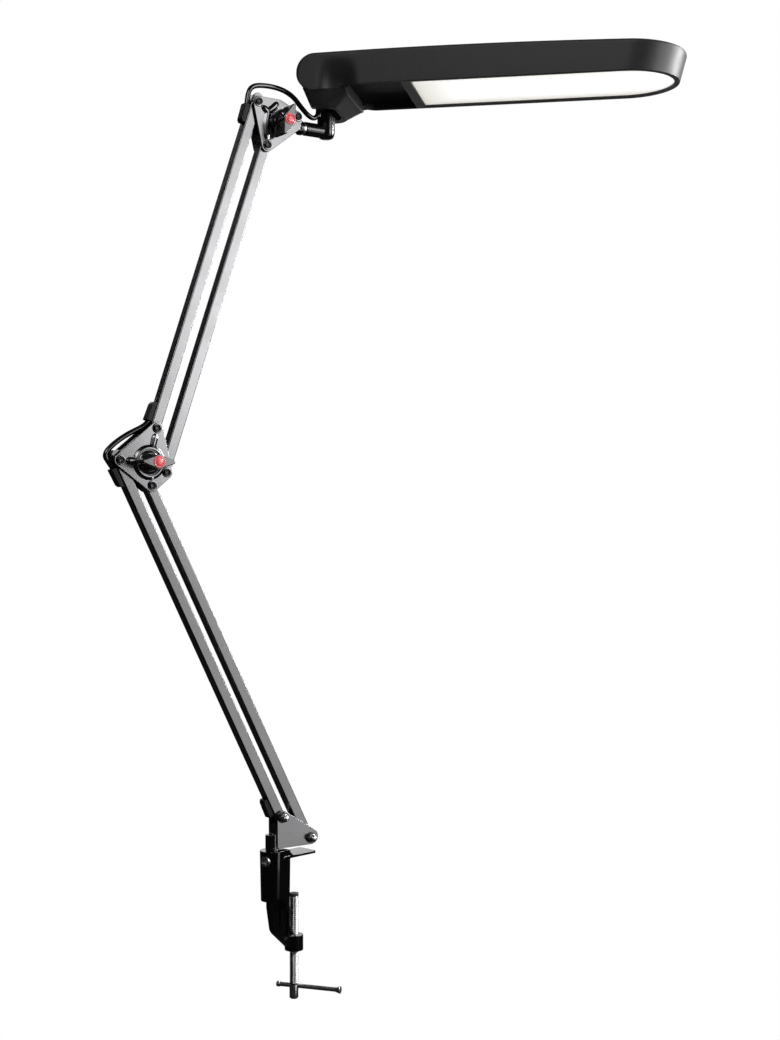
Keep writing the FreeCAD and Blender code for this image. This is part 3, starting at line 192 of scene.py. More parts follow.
def black_steel():
    """Blackened screw steel, worn a little to bare metal."""
    f = Finish("blackened_steel")
    worn = f.ramp(f.grain(0.003, 3.0, 0.6), 0.6, 0.75, 0.0, 1.0)
    base = f.blend(worn, (0.02, 0.02, 0.021), (0.07, 0.07, 0.07))
    return f.surface({"Base Color": base, "Metallic": 0.85, "Roughness": f.ramp(worn, 0.0, 1.0, 0.24, 0.36),
                      "Normal": f.relief(f.grain(0.0004), 0.000008)})


def moulded_plastic(name, colour, smoothest, grain_size, grain_depth, coat=0.0, shine=0.5):
    """Moulded plastic with an even fine grain and slow changes of roughness."""
    f = Finish(name)
    pale = tuple(min(1.0, c * 1.35 + 0.004) for c in colour)
    base = f.blend(f.ramp(f.grain(0.02, 3.0), 0.35, 0.7, 0.0, 0.5), colour, pale)
    rough = f.ramp(f.grain(0.008, 3.0), 0.3, 0.7, smoothest, smoothest + 0.08)
    return f.surface({"Base Color": base, "Roughness": rough, "Coat Weight": coat, "Coat Roughness": 0.1,
                      "Specular IOR Level": shine, "Normal": f.relief(f.grain(grain_size, 2.0), grain_depth)})


def head_plastic():
    """Charcoal plastic with a spark texture: small pits, pale specks, matt."""
    f = Finish("head_plastic")
    pits = f.grain(0.00075, 3.0, 0.65)
    specks = f.ramp(f.grain(0.0009, 2.0, 0.6), 0.66, 0.8, 0.0, 1.0)
    base = f.blend(specks * 0.6, (0.014, 0.014, 0.0145), (0.06, 0.06, 0.061))
    rough = f.ramp(pits, 0.35, 0.65, 0.36, 0.5)
    return f.surface({"Base Color": base, "Roughness": rough, "Normal": f.relief(pits, 0.00009),
                      "Specular IOR Level": 0.4})


# The head's own frame: its origin on the bracket's post, its length and its width in the row frame
HEAD_ORIGIN = (0.02845, -0.01231, 0.65182)
HEAD_ALONG = (0.5462, -0.8376, 0.0)
HEAD_ACROSS = (0.8376, 0.5462, 0.0)


def opal():
    """Opal acrylic that gives a faint light of its own, painted light that keeps it bright all over, with
    painted shade towards its edges, where it turns creamier and dimmer.
    """
    f = Finish("opal_acrylic")
    local = f.node("ShaderNodeVectorMath", {"operation": "SUBTRACT"}, {0: f.place, 1: HEAD_ORIGIN}, "Vector")
    along, across = (f.node("ShaderNodeVectorMath", {"operation": "DOT_PRODUCT"}, {0: local, 1: way}, "Value")
                     for way in (HEAD_ALONG, HEAD_ACROSS))
    # painted shade: the edge share grows towards the long sides and the foot end
    side = f.ramp(across.maths("ABSOLUTE"), 0.02, 0.045, 0.0, 1.0)
    foot = f.ramp(along, 0.13, 0.085, 0.0, 1.0)
    edge = side.maths("MAXIMUM", foot)
    base = f.blend(edge * 0.8, (0.96, 0.96, 0.95), (0.8, 0.79, 0.73))
    # painted light: faint white emission, dimmer towards the edges as painted shade
    painted_glow = f.blend(edge, (1.0, 1.0, 1.0), (0.45, 0.43, 0.37))
    return f.surface({"Base Color": base, "Roughness": f.ramp(f.grain(0.01), 0.3, 0.7, 0.3, 0.38),
                      "Normal": f.relief(f.grain(0.0004), 0.000006), "Emission Color": painted_glow,
                      "Emission Strength": 0.6})


def board():
    """White circuit board with rows of pads."""
    f = Finish("board")
    dots = f.cells(0.009) > 0.32
    base = f.blend(dots, (0.85, 0.78, 0.42), (0.82, 0.84, 0.82))
    return f.surface({"Base Color": base, "Roughness": f.ramp(f.grain(0.004), 0.3, 0.7, 0.4, 0.5)})


ARM_PAINT = satin_paint("arm_paint", 0.13, 0.22, 0.3, 1.0, 1.0)
LEAD = moulded_plastic("lead_sheath", (0.003, 0.003, 0.003), 0.12, 0.0015, 0.00002, 1.0)
KNOB = moulded_plastic("knob_plastic", (0.004, 0.004, 0.0041), 0.2, 0.0008, 0.000015, 1.0)
BY_SLOT = {
    "black_cast": cast_paint("cast_paint"),
    "black_arm_paint": ARM_PAINT,
    "black_plate_paint": satin_paint("plate_paint", 0.13, 0.2, 0.28, 1.0, 1.0),
    "black_bracket": satin_paint("gloss_black", 0.003, 0.14, 0.2, 0.6),
    "bright_steel": plated_steel("plated_steel", 0.8, 0.24, (400.0, 400.0, 9000.0)),
    "black_steel": black_steel(),
    "spring_steel": plated_steel("spring_steel", 0.42, 0.3, (800.0, 800.0, 800.0)),
    "bush_plastic": moulded_plastic("black_nylon", (0.02, 0.02, 0.02), 0.4, 0.0006, 0.00002),
    "knob_plastic": KNOB,
    "red_plastic": moulded_plastic("red_plastic", (0.52, 0.06, 0.07), 0.25, 0.0008, 0.000008, 0.5),
    "hood_plastic": moulded_plastic("hood_plastic", (0.003, 0.003, 0.003), 0.3, 0.0007, 0.00002, 0.0, 0.2),
    "lead_sheath": LEAD,
    "head_plastic": head_plastic(),
    "cover_plastic": moulded_plastic("cover_plastic", (0.0015, 0.0015, 0.0015), 0.45, 0.0007, 0.00001),
    "rocker_plastic": moulded_plastic("rocker_plastic", (0.018, 0.018, 0.018), 0.22, 0.001, 0.000008),
    "opal": opal(),
    "board": board(),
}


def dress(thing, finish):
    """Give every face of a piece this finish."""
    if not thing.data.materials:
        thing.data.materials.append(finish)
    for place in range(len(thing.data.materials)):
        thing.data.materials[place] = finish


SLOT_OF = {row["node"]: row["material_slot"] for row in frame["record"]["subparts"]}
BODY_OF = {member: body for body, members in frame["record"]["behaviour"]["bodies"].items()
           for member in members}
for node, thing in frame["nodes"].items():
    dress(thing, BY_SLOT[SLOT_OF[node]])
for node in ("lower_spring_pin", "upper_spring_pin"):  # the pins are painted together with the tubes
    dress(frame["nodes"][node], ARM_PAINT)


def show(name, data):
    """New object of the scene that holds this data."""
    thing = bpy.data.objects.new(name, data)
    bpy.context.scene.collection.objects.link(thing)
    return thing


# Camera, fitted to the photograph

CAMERA_PLACE = (-0.98755, -1.05374, 0.30574)
CAMERA_HEADING = -46.576  # degrees about the vertical
CAMERA_PITCH = -0.208  # degrees above the horizon
SENSOR_HEIGHT = 36.0
FOCAL_LENGTH = 55.50


def add_camera():
    data = bpy.data.cameras.new("camera")
    data.sensor_fit = "VERTICAL"
    data.sensor_height = SENSOR_HEIGHT
    data.lens = FOCAL_LENGTH
    data.clip_start = 0.05
    data.clip_end = 60.0
    camera = show("camera", data)
    camera.location = CAMERA_PLACE
    camera.rotation_euler = (math.radians(90.0 + CAMERA_PITCH), 0.0, math.radians(CAMERA_HEADING))
    bpy.context.scene.camera = camera


# Leads, along the runs of the CAD's own, in metres

LEAD_DIAMETER = 0.0046
LEADS = {
    "elbow_lead": [(-0.17451, 0.0334, 0.34328), (-0.17875, 0.03435, 0.34882), (-0.18284, 0.03527, 0.35522),
                   (-0.17601, 0.03373, 0.36342), (-0.16236, 0.03066, 0.37302), (-0.14519, 0.02679, 0.38102),
                   (-0.14302, 0.0263, 0.38537)],
    "head_lead": [(-0.0512, 0.00563, 0.6639), (-0.05067, 0.00551, 0.67342), (-0.04637, 0.00454, 0.68242),
                  (-0.0333, 0.0016, 0.68482), (-0.01769, -0.00192, 0.68412), (-0.0056, -0.00464, 0.67942),
                  (0.0024, -0.00644, 0.67102), (0.01001, -0.00815, 0.66402), (0.01626, -0.00956, 0.66202),
                  (0.02035, -0.01048, 0.66622), (0.02026, -0.01046, 0.67322), (0.02026, -0.01046, 0.68182)],
    "lower_tube_lead": [(-0.02814, 0.00044, 0.04072), (-0.02878, 0.00058, 0.0541),
                        (-0.16348, 0.03091, 0.33373), (-0.17346, 0.03316, 0.34238)],
    "upper_tube_lead": [(-0.1421, 0.0261, 0.38641), (-0.13333, 0.02412, 0.39634),
                        (-0.04999, 0.00536, 0.64916), (-0.05109, 0.0056, 0.66251)],
}


def curve_length(curve):
    """Length of a curve's own line."""
    depth = curve.data.bevel_depth
    curve.data.bevel_depth = 0.0
    line = bpy.data.meshes.new_from_object(curve)
    curve.data.bevel_depth = depth
    total = 0.0
    for edge in line.edges:
        a, b = (line.vertices[i].co for i in edge.vertices)
        total += (a - b).length
    bpy.data.meshes.remove(line)
    return total


def add_lead(node, points):
    """Smooth lead through the run of one CAD lead, which it stands for."""
    data = bpy.data.curves.new(node + "_sheath", "CURVE")
    data.dimensions = "3D"
    data.bevel_depth = 1.0  # the points' radius carries the thickness, since it also widens the bounds
    data.bevel_resolution = 5
    data.resolution_u = 10
    data.use_fill_caps = True
    spline = data.splines.new("NURBS")
    spline.points.add(len(points) - 1)
    for point, place in zip(spline.points, points):
        point.co = (*place, 1.0)
        point.radius = LEAD_DIAMETER / 2
    spline.order_u = 3
    spline.use_endpoint_u = True
    lead = show(node + "_sheath", data)
    dress(lead, LEAD)
    bpy.context.view_layer.update()
    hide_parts(node)
    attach(lead, BODY_OF[node])
    round(curve_length(lead), 4)


add_camera()
for node, points in LEADS.items():
    add_lead(node, points)


# Modelling helpers

MERGE = 0.00002  # metres; doubles that the CAD's seams leave
FLAT = math.radians(1.0)
SOFTENED_FROM = math.radians(35.0)
SMOOTH_UNDER = math.radians(46.0)
TURNED_SMOOTH_UNDER = math.radians(32.0)
UP = Vector((0.0, 0.0, 1.0))
FROM_MM = Matrix.Scale(0.001, 4)


def only(thing):
    """Make one object the only selected and active one."""
    bpy.ops.object.select_all(action="DESELECT")
    thing.select_set(True)
    bpy.context.view_layer.objects.active = thing


def finish_modifiers(thing):
    """Apply every modifier of an object."""
    only(thing)
    for modifier in list(thing.modifiers):
        bpy.ops.object.modifier_apply(modifier=modifier.name)


def edit_all(thing):
    """Enter edit mode with all of one object selected."""
    only(thing)
    bpy.ops.object.mode_set(mode="EDIT")
    bpy.ops.mesh.select_all(action="SELECT")


def smooth_under(thing, angle):
    only(thing)
    bpy.ops.object.shade_smooth_by_angle(angle=angle)


def level_shading(thing, weight=50):
    """Weight the normals by the faces' size, so that large flat faces stay flat."""
    level = thing.modifiers.new("level", "WEIGHTED_NORMAL")
    level.keep_sharp = True
    level.weight = weight
    finish_modifiers(thing)


def ease_edges(thing, width, segments, angle):
    bevel = thing.modifiers.new("edges", "BEVEL")
    bevel.width = width
    bevel.segments = segments
    bevel.limit_method = "ANGLE"
    bevel.angle_limit = angle
    return bevel


def stand_for(piece, node):
    """Let a piece stand for a CAD node: its body is the node's, and the node is hidden."""
    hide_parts(node)
    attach(piece, BODY_OF[node])


# Every CAD node with visible edges gets a copy with the edges rounded over

def softened(node, width, segments=2, merge=MERGE, reshape=None, weight=100):
    """Copy of a CAD node with its edges rounded by this many millimetres, standing for the node."""
    piece = show(node + "_skin", frame["nodes"][node].data.copy())
    edit_all(piece)
    bpy.ops.mesh.remove_doubles(threshold=merge)
    bpy.ops.mesh.dissolve_limited(angle_limit=FLAT)
    bpy.ops.object.mode_set(mode="OBJECT")
    if reshape:
        reshape(piece)
    ease_edges(piece, width / 1000, segments, SOFTENED_FROM).use_clamp_overlap = False
    finish_modifiers(piece)
    smooth_under(piece, SMOOTH_UNDER)
    level_shading(piece, weight)
    stand_for(piece, node)


# The head's sides sink in at the hub; all in millimetres of the head's own frame

HALF_WIDTH = 48.3
LEDGE_Z = 29.9  # under it the side slopes in towards the hub's foot
FOOT_Z = 15.5
HOUSING_NET = (range(-16, 42, 3), (-30, 30, -40, 40), range(20, 56, 3))
HOUSING_BOX = ((-18.0, 22.0, 15.0), (40.0, 49.0, 56.0))
COVER_NET = (range(28, 40, 3), (), ())
COVER_BOX = ((26.0, 22.0, 15.0), (40.0, 49.0, 56.0))


def head_frame():
    """From the head's own frame in millimetres to the row frame in metres."""
    axes = Matrix((HEAD_ALONG, HEAD_ACROSS, UP)).transposed().to_4x4()
    return Matrix.Translation(HEAD_ORIGIN) @ axes @ FROM_MM


def eased(value, low, high):
    """Smooth step from 0 at low to 1 at high."""
    share = min(1.0, max(0.0, (value - low) / (high - low)))
    return share * share * (3.0 - 2.0 * share)


def sink(x, y, z):
    """How far a place near the hub moves in from the head's side."""
    along = eased(x, 3.0, 17.0) * (1.0 - eased(x, 23.0, 38.0))
    if z < LEDGE_Z:
        wanted = 8.1 + 6.5 * ((LEDGE_Z - z) / (LEDGE_Z - FOOT_Z)) ** 1.3
        return math.copysign(max(0.0, wanted - (HALF_WIDTH - abs(y))) * along, y)
    height = 1.0 - eased(z, LEDGE_Z, 54.0)
    return math.copysign(8.0 * along * height * eased(abs(y), 22.0, 42.0), y)


def select_faces_in(piece, low, high):
    """Select the faces that reach into a box; its y is the distance from the head's middle, open outwards."""
    for polygon in piece.data.polygons:
        corners = [piece.data.vertices[i].co for i in polygon.vertices]
        polygon.select = (min(c.x for c in corners) < high[0] and max(c.x for c in corners) > low[0]
                          and min(c.z for c in corners) < high[2] and max(abs(c.y) for c in corners) > low[1])


def sink_sides(piece, net, box):
    """Cut the faces inside a box along a net of planes and let the head's sides sink into the hub."""
    to_row = head_frame()
    piece.data.transform(to_row.inverted())
    edit_all(piece)
    bpy.ops.mesh.select_all(action="DESELECT")
    for axis, values in enumerate(net):
        for value in values:
            bpy.ops.object.mode_set(mode="OBJECT")
            select_faces_in(piece, *box)
            bpy.ops.object.mode_set(mode="EDIT")
            bpy.ops.mesh.select_mode(type="FACE")
            way = Vector((0.0, 0.0, 0.0))
            way[axis] = 1.0
            bpy.ops.mesh.bisect(plane_co=way * value, plane_no=way)
    bpy.ops.object.mode_set(mode="OBJECT")
    for vertex in piece.data.vertices:
        vertex.co.y -= sink(*vertex.co)
    edit_all(piece)
    bpy.ops.mesh.dissolve_degenerate(threshold=0.05)
    bpy.ops.object.mode_set(mode="OBJECT")
    piece.data.transform(to_row)


softened("head_housing", 0.5, 2, reshape=lambda piece: sink_sides(piece, HOUSING_NET, HOUSING_BOX), weight=50)
softened("head_bottom_cover", 0.3, 1, reshape=lambda piece: sink_sides(piece, COVER_NET, COVER_BOX))
softened("base_bracket", 0.4, 2, merge=0.0002)
for width, segments, nodes in (
        (0.4, 3, ["clamp_body"]),
        (0.6, 3, ["head_bracket"]),
        (0.5, 2, ["tilt_tongue"]),
        (0.4, 2, ["elbow_rear_cheek", "head_joint_rear_cheek"]),
        (0.12, 1, ["lower_rear_tube", "lower_front_tube", "upper_rear_tube", "upper_front_tube"]),
        (0.8, 3, ["elbow_wing_knob", "head_wing_knob"]),
        (0.6, 3, ["elbow_screws", "head_joint_screws"]),
        (0.25, 2, ["base_dome_nuts"]),
        (0.3, 2, ["base_pivot_bolts"]),
        (0.12, 1, ["base_nut_washers"]),
        (0.3, 2, ["elbow_clamp_bolt", "head_clamp_bolt", "post_retaining_screw"]),
        (0.4, 2, ["tommy_bar", "clamp_screw_tip"]),
        (0.3, 2, ["bracket_washer"]),
        (0.4, 2, [arm + end + "_cable_hood" for arm in ("lower", "upper") for end in ("_foot", "_top")]),
        (0.3, 2, ["rocker_switch"])):
    for node in nodes:
        softened(node, width, segments)


# Turned and modelled pieces; the arms' own frame lies along them, up, and across them

ARM_ALONG = Vector((0.97557, -0.21968, 0.0))
ARM_ACROSS = Vector((0.21968, 0.97557, 0.0))
ARM_ROOT = Vector((-0.0262, 0.0, 0.0))


def profile_line(name, profile):
    """Object of edges through a profile's (radius, height) points."""
    data = bpy.data.meshes.new(name)
    data.from_pydata([(radius, 0.0, height) for radius, height in profile],
                     [(i, i + 1) for i in range(len(profile) - 1)], [])
    return show(name, data)


def tidy_shell(piece, merge):
    """Merge a shell's doubles and turn its faces outwards."""
    edit_all(piece)
    bpy.ops.mesh.remove_doubles(threshold=merge)
    bpy.ops.mesh.normals_make_consistent(inside=False)
    bpy.ops.object.mode_set(mode="OBJECT")


def turned(profile, centre, along, steps=48, merge=0.000005):
    """Solid turned from a profile of (radius, distance) points that starts and ends on the axis."""
    piece = profile_line("turned", profile)
    turn = piece.modifiers.new("turn", "SCREW")
    turn.steps = steps
    turn.render_steps = steps
    turn.use_merge_vertices = True
    turn.merge_threshold = 2 * merge
    turn.use_smooth_shade = True
    finish_modifiers(piece)
    tidy_shell(piece, merge)
    piece.data.transform(along.to_track_quat("Z", "Y").to_matrix().to_4x4())
    piece.data.transform(Matrix.Translation(centre))
    return piece


def in_metres(profile):
    return [(radius / 1000, height / 1000) for radius, height in profile]


def adopt(piece, node, name):
    """Dress a modelled piece as a CAD node and let it stand for the node."""
    piece.name = name
    dress(piece, BY_SLOT[SLOT_OF[node]])
    stand_for(piece, node)


def middle(node):
    low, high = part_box(node)
    return (low + high) / 2


def front_point(centre, node):
    """Point of the node's front on the line through a centre across the arms."""
    front = min((v.co - centre).dot(ARM_ACROSS) for v in frame["nodes"][node].data.vertices)
    return centre + ARM_ACROSS * front


# Red caps of the knobs: radius and depth behind the cap's front, in millimetres

CAP = [(0.0, 2.9), (4.1, 2.9), (4.1, 1.4), (5.0, 1.4), (5.15, 1.1), (5.0, 0.65), (4.6, 0.42), (4.2, 0.5),
       (3.9, 0.75), (3.55, 0.72), (3.2, 0.3), (2.2, 0.08), (1.0, 0.02), (0.0, 0.0)]
for node in ("elbow_knob_cap", "head_knob_cap"):
    adopt(turned(in_metres(CAP), front_point(middle(node), node), ARM_ACROSS), node, node + "_dome")


# Front cheeks, worked in their own plane in millimetres: along the arms, up, outwards

CHEEK_OUTSIDE = 8.0  # from the arms' middle plane to the cheek's outer face
CHEEK_THICKNESS = 2.1
COLLAR_RADIUS = 4.9  # a ridge ends this far from a screw's middle
RIDGE = [(-3.3, -0.2), (-3.2, 0.08), (-2.1, 0.95), (-1.1, 1.65), (-0.6, 1.85),
         (0.6, 1.85), (1.1, 1.65), (2.1, 0.95), (3.2, 0.08), (3.3, -0.2)]
RING = [(0.0, 0.6), (10.7, 0.6), (10.9, 0.75), (11.2, 1.7), (11.45, 1.85), (12.4, 1.85), (12.8, 1.65),
        (13.8, 0.95), (14.9, 0.08), (15.0, -0.2), (0.0, -0.2)]
PAD = [(0.0, 1.0), (7.8, 1.0), (8.2, 0.8), (8.4, -0.2), (0.0, -0.2)]
COLLAR = [(0.0, 1.0), (3.7, 1.0), (4.1, 0.85), (4.35, 0.4), (4.5, -0.2), (0.0, -0.2)]


def cheek_place():
    """From a front cheek's outer face in millimetres to the row frame in metres."""
    axes = Matrix((ARM_ALONG, UP, -ARM_ACROSS)).transposed().to_4x4()
    return Matrix.Translation(ARM_ROOT - ARM_ACROSS * CHEEK_OUTSIDE / 1000) @ axes @ FROM_MM


def section_curve(section):
    """Closed outline that a curve sweeps along itself."""
    outline = bpy.data.curves.new("section", "CURVE")
    outline.dimensions = "2D"
    edge = outline.splines.new("POLY")
    edge.points.add(len(section) - 1)
    for point, place in zip(edge.points, section):
        point.co = (*place, 0.0, 1.0)
    edge.use_cyclic_u = True
    return show("section", outline)


def swept(route, section, reach):
    """Solid of one section along a flat route; its ends shrink to this share."""
    shape = section_curve(section)
    data = bpy.data.curves.new("swept", "CURVE")
    data.dimensions = "3D"
    data.twist_mode = "Z_UP"
    data.bevel_mode = "OBJECT"
    data.bevel_object = shape
    data.use_fill_caps = True
    data.resolution_u = 8
    line = data.splines.new("NURBS")
    line.points.add(len(route) - 1)
    for point, place in zip(line.points, route):
        point.co = (*place, 0.0, 1.0)
    for end in (0, -1):
        line.points[end].radius = reach
    line.order_u = 3
    line.use_endpoint_u = True
    only(show("swept", data))
    bpy.ops.object.convert(target="MESH")
    bpy.data.objects.remove(shape)
    piece = bpy.context.view_layer.objects.active
    tidy_shell(piece, 0.001)
    return piece


def hull_plate(corners):
    """Flat plate round the screws' places, its outer face at zero; a corner is a place and a radius."""
    steps = 32
    points = []
    for x, z, radius in corners:
        for step in range(steps):
            turn = math.tau * step / steps
            for level in (0.0, -CHEEK_THICKNESS):
                points.append((x + radius * math.cos(turn), z + radius * math.sin(turn), level))
    data = bpy.data.meshes.new("plate")
    data.from_pydata(points, [], [])
    piece = show("plate", data)
    edit_all(piece)
    bpy.ops.mesh.convex_hull()
    bpy.ops.mesh.dissolve_limited(angle_limit=FLAT)
    bpy.ops.object.mode_set(mode="OBJECT")
    ease_edges(piece, 0.5, 3, math.radians(40))
    finish_modifiers(piece)
    return piece


def boss(profile, place):
    """Round raised form on the plate."""
    return turned(profile, Vector((*place, 0.0)), UP, 64, 0.001)


def joined(parts, name):
    only(parts[0])
    for part in parts:
        part.select_set(True)
    bpy.ops.object.join()
    parts[0].name = name
    return parts[0]


def front_cheek(node, corners, screws, bosses, routes):
    """Plate with collars under its screws, the clamp's boss and the raised ridges."""
    parts = [hull_plate(corners)]
    parts += [boss(COLLAR, place) for place in screws]
    parts += [boss(profile, place) for profile, place in bosses]
    parts += [swept(route, RIDGE, 0.35) for route in routes]
    piece = joined(parts, node + "_ridged")
    piece.data.transform(cheek_place())
    smooth_under(piece, TURNED_SMOOTH_UNDER)
    level_shading(piece)
    adopt(piece, node, node + "_ridged")


def toward(centre, place, start):
    """Route from a radius round the centre to the collar at another place."""
    a, b = Vector(centre), Vector(place)
    way = (b - a).normalized()
    first, last = a + way * start, b - way * COLLAR_RADIUS
    return [tuple(first), *(tuple(first.lerp(last, share)) for share in (0.12, 0.5, 0.88)), tuple(last)]


ELBOW_KNOB = (-123.27, 349.22)
ELBOW_SCREWS = [(-120.33, 329.95), (-106.98, 341.18), (-115.915, 378.274), (-149.165, 350.824)]
HEAD_KNOB = (2.22, 650.925)
HEAD_SCREWS = [(-9.35, 630.14), (21.72, 659.33), (-18.28, 667.225)]
HEAD_CORNERS = [(-9.35, 630.14, 5.6), (20.52, 651.2, 4.3), (21.72, 659.33, 4.8), (3.22, 667.5, 4.6),
                (-18.28, 667.225, 5.2)]
front_cheek("elbow_front_cheek", [(x, z, 5.6) for x, z in ELBOW_SCREWS], ELBOW_SCREWS, [(RING, ELBOW_KNOB)],
            [toward(ELBOW_KNOB, place, 11.5) for place in ELBOW_SCREWS])
front_cheek("head_joint_front_cheek", HEAD_CORNERS, HEAD_SCREWS, [(PAD, HEAD_KNOB)],
            [[(-15.0, 664.0), (-13.5, 662.8), (-8.6, 659.8), (-9.9, 654.0), (-10.6, 649.0), (-10.4, 643.5),
              (-9.9, 637.0), (-9.6, 634.9)],
             [(-9.4, 658.6), (-8.0, 660.2), (-2.6, 664.2), (0.2, 667.6), (0.9, 669.4)],
             toward(HEAD_KNOB, HEAD_SCREWS[1], 8.0)])


# Round skirts under the wing knobs, the knobs' black feet, which also stand in as painted shade inside the
# rings: how far out of the cheek, and the radius for the elbow's

FOOT_AND_SHADE = [(0.0, 0.8), (10.2, 0.8), (10.35, 1.0), (10.1, 1.3), (8.0, 2.05), (7.3, 2.35), (0.0, 2.35)]
for name, place, share, lift in (("elbow", ELBOW_KNOB, 1.0, 0.0), ("head", HEAD_KNOB, 0.83, 0.35)):
    foot_and_shade = boss([(radius * share, height + lift) for radius, height in FOOT_AND_SHADE], place)
    foot_and_shade.name = name + "_knob_foot_and_shade"
    foot_and_shade.data.transform(cheek_place())
    smooth_under(foot_and_shade, TURNED_SMOOTH_UNDER)
    dress(foot_and_shade, KNOB)
    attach(foot_and_shade, name + "_knob")


# Sleeve round the knee of the head's bracket: radius and height over the stub's axis, in millimetres

SLEEVE = [(0.0, -6.9), (3.6, -6.8), (5.8, -6.1), (7.2, -4.6), (7.9, -2.2), (8.1, 0.5), (8.1, 12.6),
          (7.7, 13.0), (0.0, 13.0)]
KNEE = ARM_ROOT + ARM_ALONG * 0.05602 + UP * 0.65182
sleeve = turned(in_metres(SLEEVE), KNEE, UP, 40)
sleeve.name = "bracket_knee_sleeve"
smooth_under(sleeve, math.radians(40))
dress(sleeve, BY_SLOT[SLOT_OF["head_bracket"]])
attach(sleeve, "tilt_bracket")


# Clamp screw, in millimetres; its axis is upright at 0, 0

THREAD_CREST = 3.98
THREAD_ROOT = 3.42
THREAD_PITCH = 1.75
THREAD_TOP = -37.9
PLAIN_FROM = -117.2  # under it the foot has no thread


def thread(low, high):
    """Coarse thread round the vertical axis from low to high."""
    flank = [(THREAD_ROOT, 0.0), (THREAD_ROOT, 0.18), (THREAD_CREST, 0.42), (THREAD_CREST, 0.6),
             (THREAD_ROOT, 0.84), (THREAD_ROOT, 1.0)]
    piece = profile_line("thread", [(radius, share * THREAD_PITCH) for radius, share in flank])
    turn = piece.modifiers.new("turn", "SCREW")
    turn.screw_offset = THREAD_PITCH
    turn.iterations = int((high - low) / THREAD_PITCH)
    turn.steps = 28
    turn.render_steps = 28
    turn.use_merge_vertices = True
    turn.merge_threshold = 0.001
    finish_modifiers(piece)
    edit_all(piece)
    bpy.ops.mesh.remove_doubles(threshold=0.001)
    bpy.ops.mesh.fill_holes(sides=0)
    bpy.ops.mesh.normals_make_consistent(inside=False)
    bpy.ops.object.mode_set(mode="OBJECT")
    piece.data.transform(FROM_MM @ Matrix.Translation(UP * low))
    return piece


def plain_foot(top):
    """The drilled foot of the clamp screw, cut off level at its top."""
    piece = show("foot", frame["nodes"]["clamp_screw"].data.copy())
    edit_all(piece)
    bpy.ops.mesh.remove_doubles(threshold=MERGE)
    bpy.ops.mesh.bisect(plane_co=UP * top / 1000, plane_no=UP, use_fill=True, clear_outer=True)
    bpy.ops.mesh.select_all(action="SELECT")
    bpy.ops.mesh.dissolve_limited(angle_limit=FLAT)
    bpy.ops.object.mode_set(mode="OBJECT")
    ease_edges(piece, 0.0003, 2, SOFTENED_FROM)
    finish_modifiers(piece)
    return piece


screw = joined([plain_foot(PLAIN_FROM), thread(PLAIN_FROM - 0.2, THREAD_TOP)], "clamp_screw_threaded")
smooth_under(screw, TURNED_SMOOTH_UNDER)
adopt(screw, "clamp_screw", "clamp_screw_threaded")
dress(screw, thread_steel())


# Studio: white to the camera, as bright to metal and to the matt surfaces as the photograph's studio

WHITE = (1.0, 1.0, 1.0, 1.0)
CARD_PAINT = (0.8, 0.8, 0.8, 1.0)
FLOOR_Z = -0.75


class Nodes:
    """The node tree of a material or world, emptied; each call adds a node and wires its inputs."""

    def __init__(self, owner):
        owner.use_nodes = True
        self.tree = owner.node_tree
        self.tree.nodes.clear()
        self.path = self.add("ShaderNodeLightPath")

    def add(self, kind, operation=None, **inputs):
        made = self.tree.nodes.new(kind)
        if operation:
            made.operation = operation
        for name, value in inputs.items():
            socket = made.inputs[int(name[1:])] if name[0] == "_" else made.inputs[name]
            if isinstance(value, bpy.types.NodeSocket):
                self.tree.links.new(value, socket)
            else:
                socket.default_value = value
        return made

    def maths(self, operation, first, second):
        return self.add("ShaderNodeMath", operation, _0=first, _1=second).outputs[0]

    def seen_directly(self):
        """1 for the camera and for what clear surfaces let through."""
        rays = self.path.outputs
        return self.maths("MAXIMUM", rays["Is Camera Ray"], rays["Is Transmission Ray"])


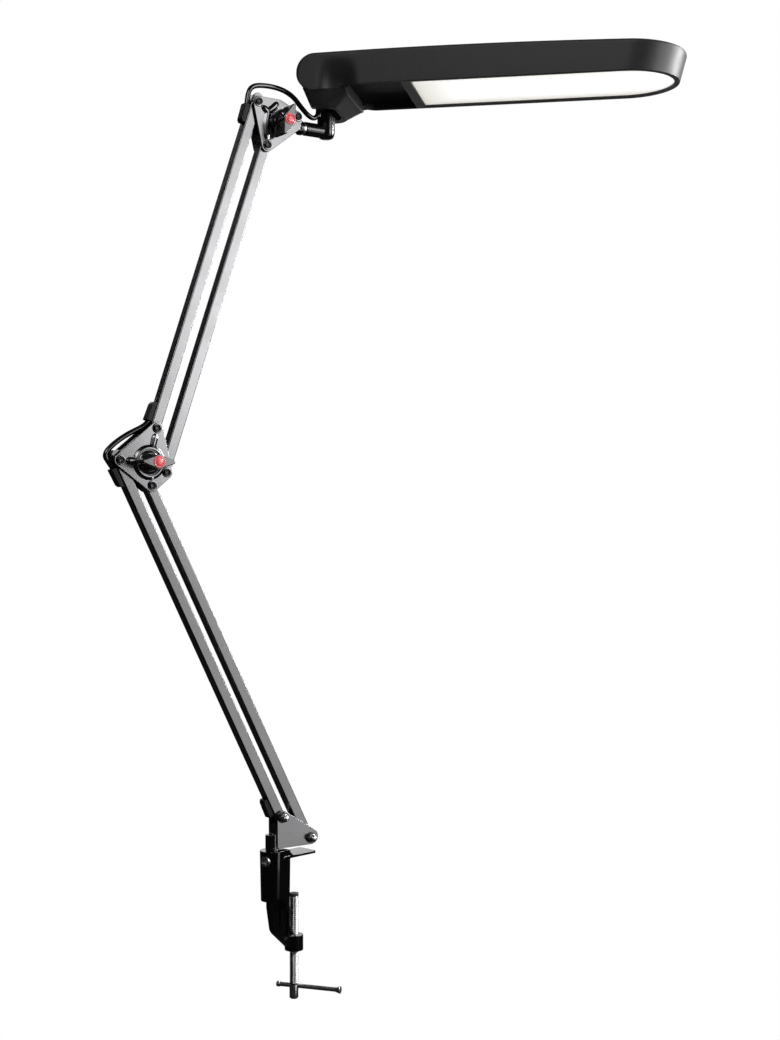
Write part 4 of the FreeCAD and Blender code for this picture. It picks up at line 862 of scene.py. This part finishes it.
def add_plane(name, corners, mirrored):
    """White card for the camera; mirrored is how bright polished surfaces show it."""
    data = bpy.data.meshes.new(name)
    data.from_pydata(corners, [], [(0, 1, 2, 3)])
    plane = show(name, data)
    material = bpy.data.materials.new(name)
    n = Nodes(material)
    white = n.add("ShaderNodeEmission", Color=WHITE)
    paint = n.add("ShaderNodeBsdfDiffuse", Color=CARD_PAINT)
    dim = n.add("ShaderNodeEmission", Color=WHITE, Strength=mirrored)
    glossy = n.path.outputs["Is Glossy Ray"]
    unseen = n.add("ShaderNodeMixShader", _0=glossy, _1=paint.outputs[0], _2=dim.outputs[0])
    mixed = n.add("ShaderNodeMixShader", _0=n.seen_directly(), _1=unseen.outputs[0], _2=white.outputs[0])
    n.add("ShaderNodeOutputMaterial", Surface=mixed.outputs[0])
    data.materials.append(material)


def add_panel(name, place, towards, width, height, power):
    """Soft rectangular lamp that faces a point."""
    data = bpy.data.lights.new(name, "AREA")
    data.shape = "RECTANGLE"
    data.size = width
    data.size_y = height
    data.energy = power
    lamp = show(name, data)
    lamp.location = place
    lamp.rotation_euler = (Vector(towards) - Vector(place)).to_track_quat("-Z", "Y").to_euler()
    return lamp


def add_world(matt, mirrored):
    """White for the camera; matt and mirrored are its strengths for matt and for polished surfaces."""
    world = bpy.data.worlds.new("studio")
    bpy.context.scene.world = world
    n = Nodes(world)
    glossy = n.maths("MULTIPLY", n.path.outputs["Is Glossy Ray"], mirrored)
    diffuse = n.maths("MULTIPLY", n.path.outputs["Is Diffuse Ray"], matt)
    strength = n.maths("MAXIMUM", n.maths("MAXIMUM", n.seen_directly(), glossy), diffuse)
    background = n.add("ShaderNodeBackground", Color=WHITE, Strength=strength)
    n.add("ShaderNodeOutputWorld", Surface=background.outputs[0])


add_plane("floor", [(x, y, FLOOR_Z) for x, y in ((-3, -3), (3, -3), (3, 3), (-3, 3))], 0.015)
add_plane("backdrop", [(0.2, 3.0, 0.3), (3.0, 0.2, 0.3), (3.0, 0.2, 2.2), (0.2, 3.0, 2.2)], 0.95)
add_world(0.14, 0.012)
for name, height, aimed_at, tall, power in (
        ("right_high_softbox", 1.22, 0.8, 0.56, 4.2),
        ("right_middle_softbox", 0.655, 0.45, 0.6, 7.4),
        ("right_low_softbox", -0.045, 0.1, 0.81, 3.2)):
    add_panel(name, (0.55, -1.65, height), (-0.05, 0.0, aimed_at), 0.7, tall, power)
add_panel("end_strip", (1.5, -0.96, 0.95), (0.2, -0.26, 0.7), 0.22, 1.2, 50.0)
add_panel("top_softbox", (-0.2, -0.3, 2.2), (0.0, 0.0, 0.3), 1.4, 1.4, 30.0).visible_glossy = False
add_panel("front_softbox", (-1.9, -1.4, 1.9), (0.0, 0.0, 0.35), 1.0, 1.0, 16.0)

bpy.context.scene.view_settings.view_transform = "Standard"
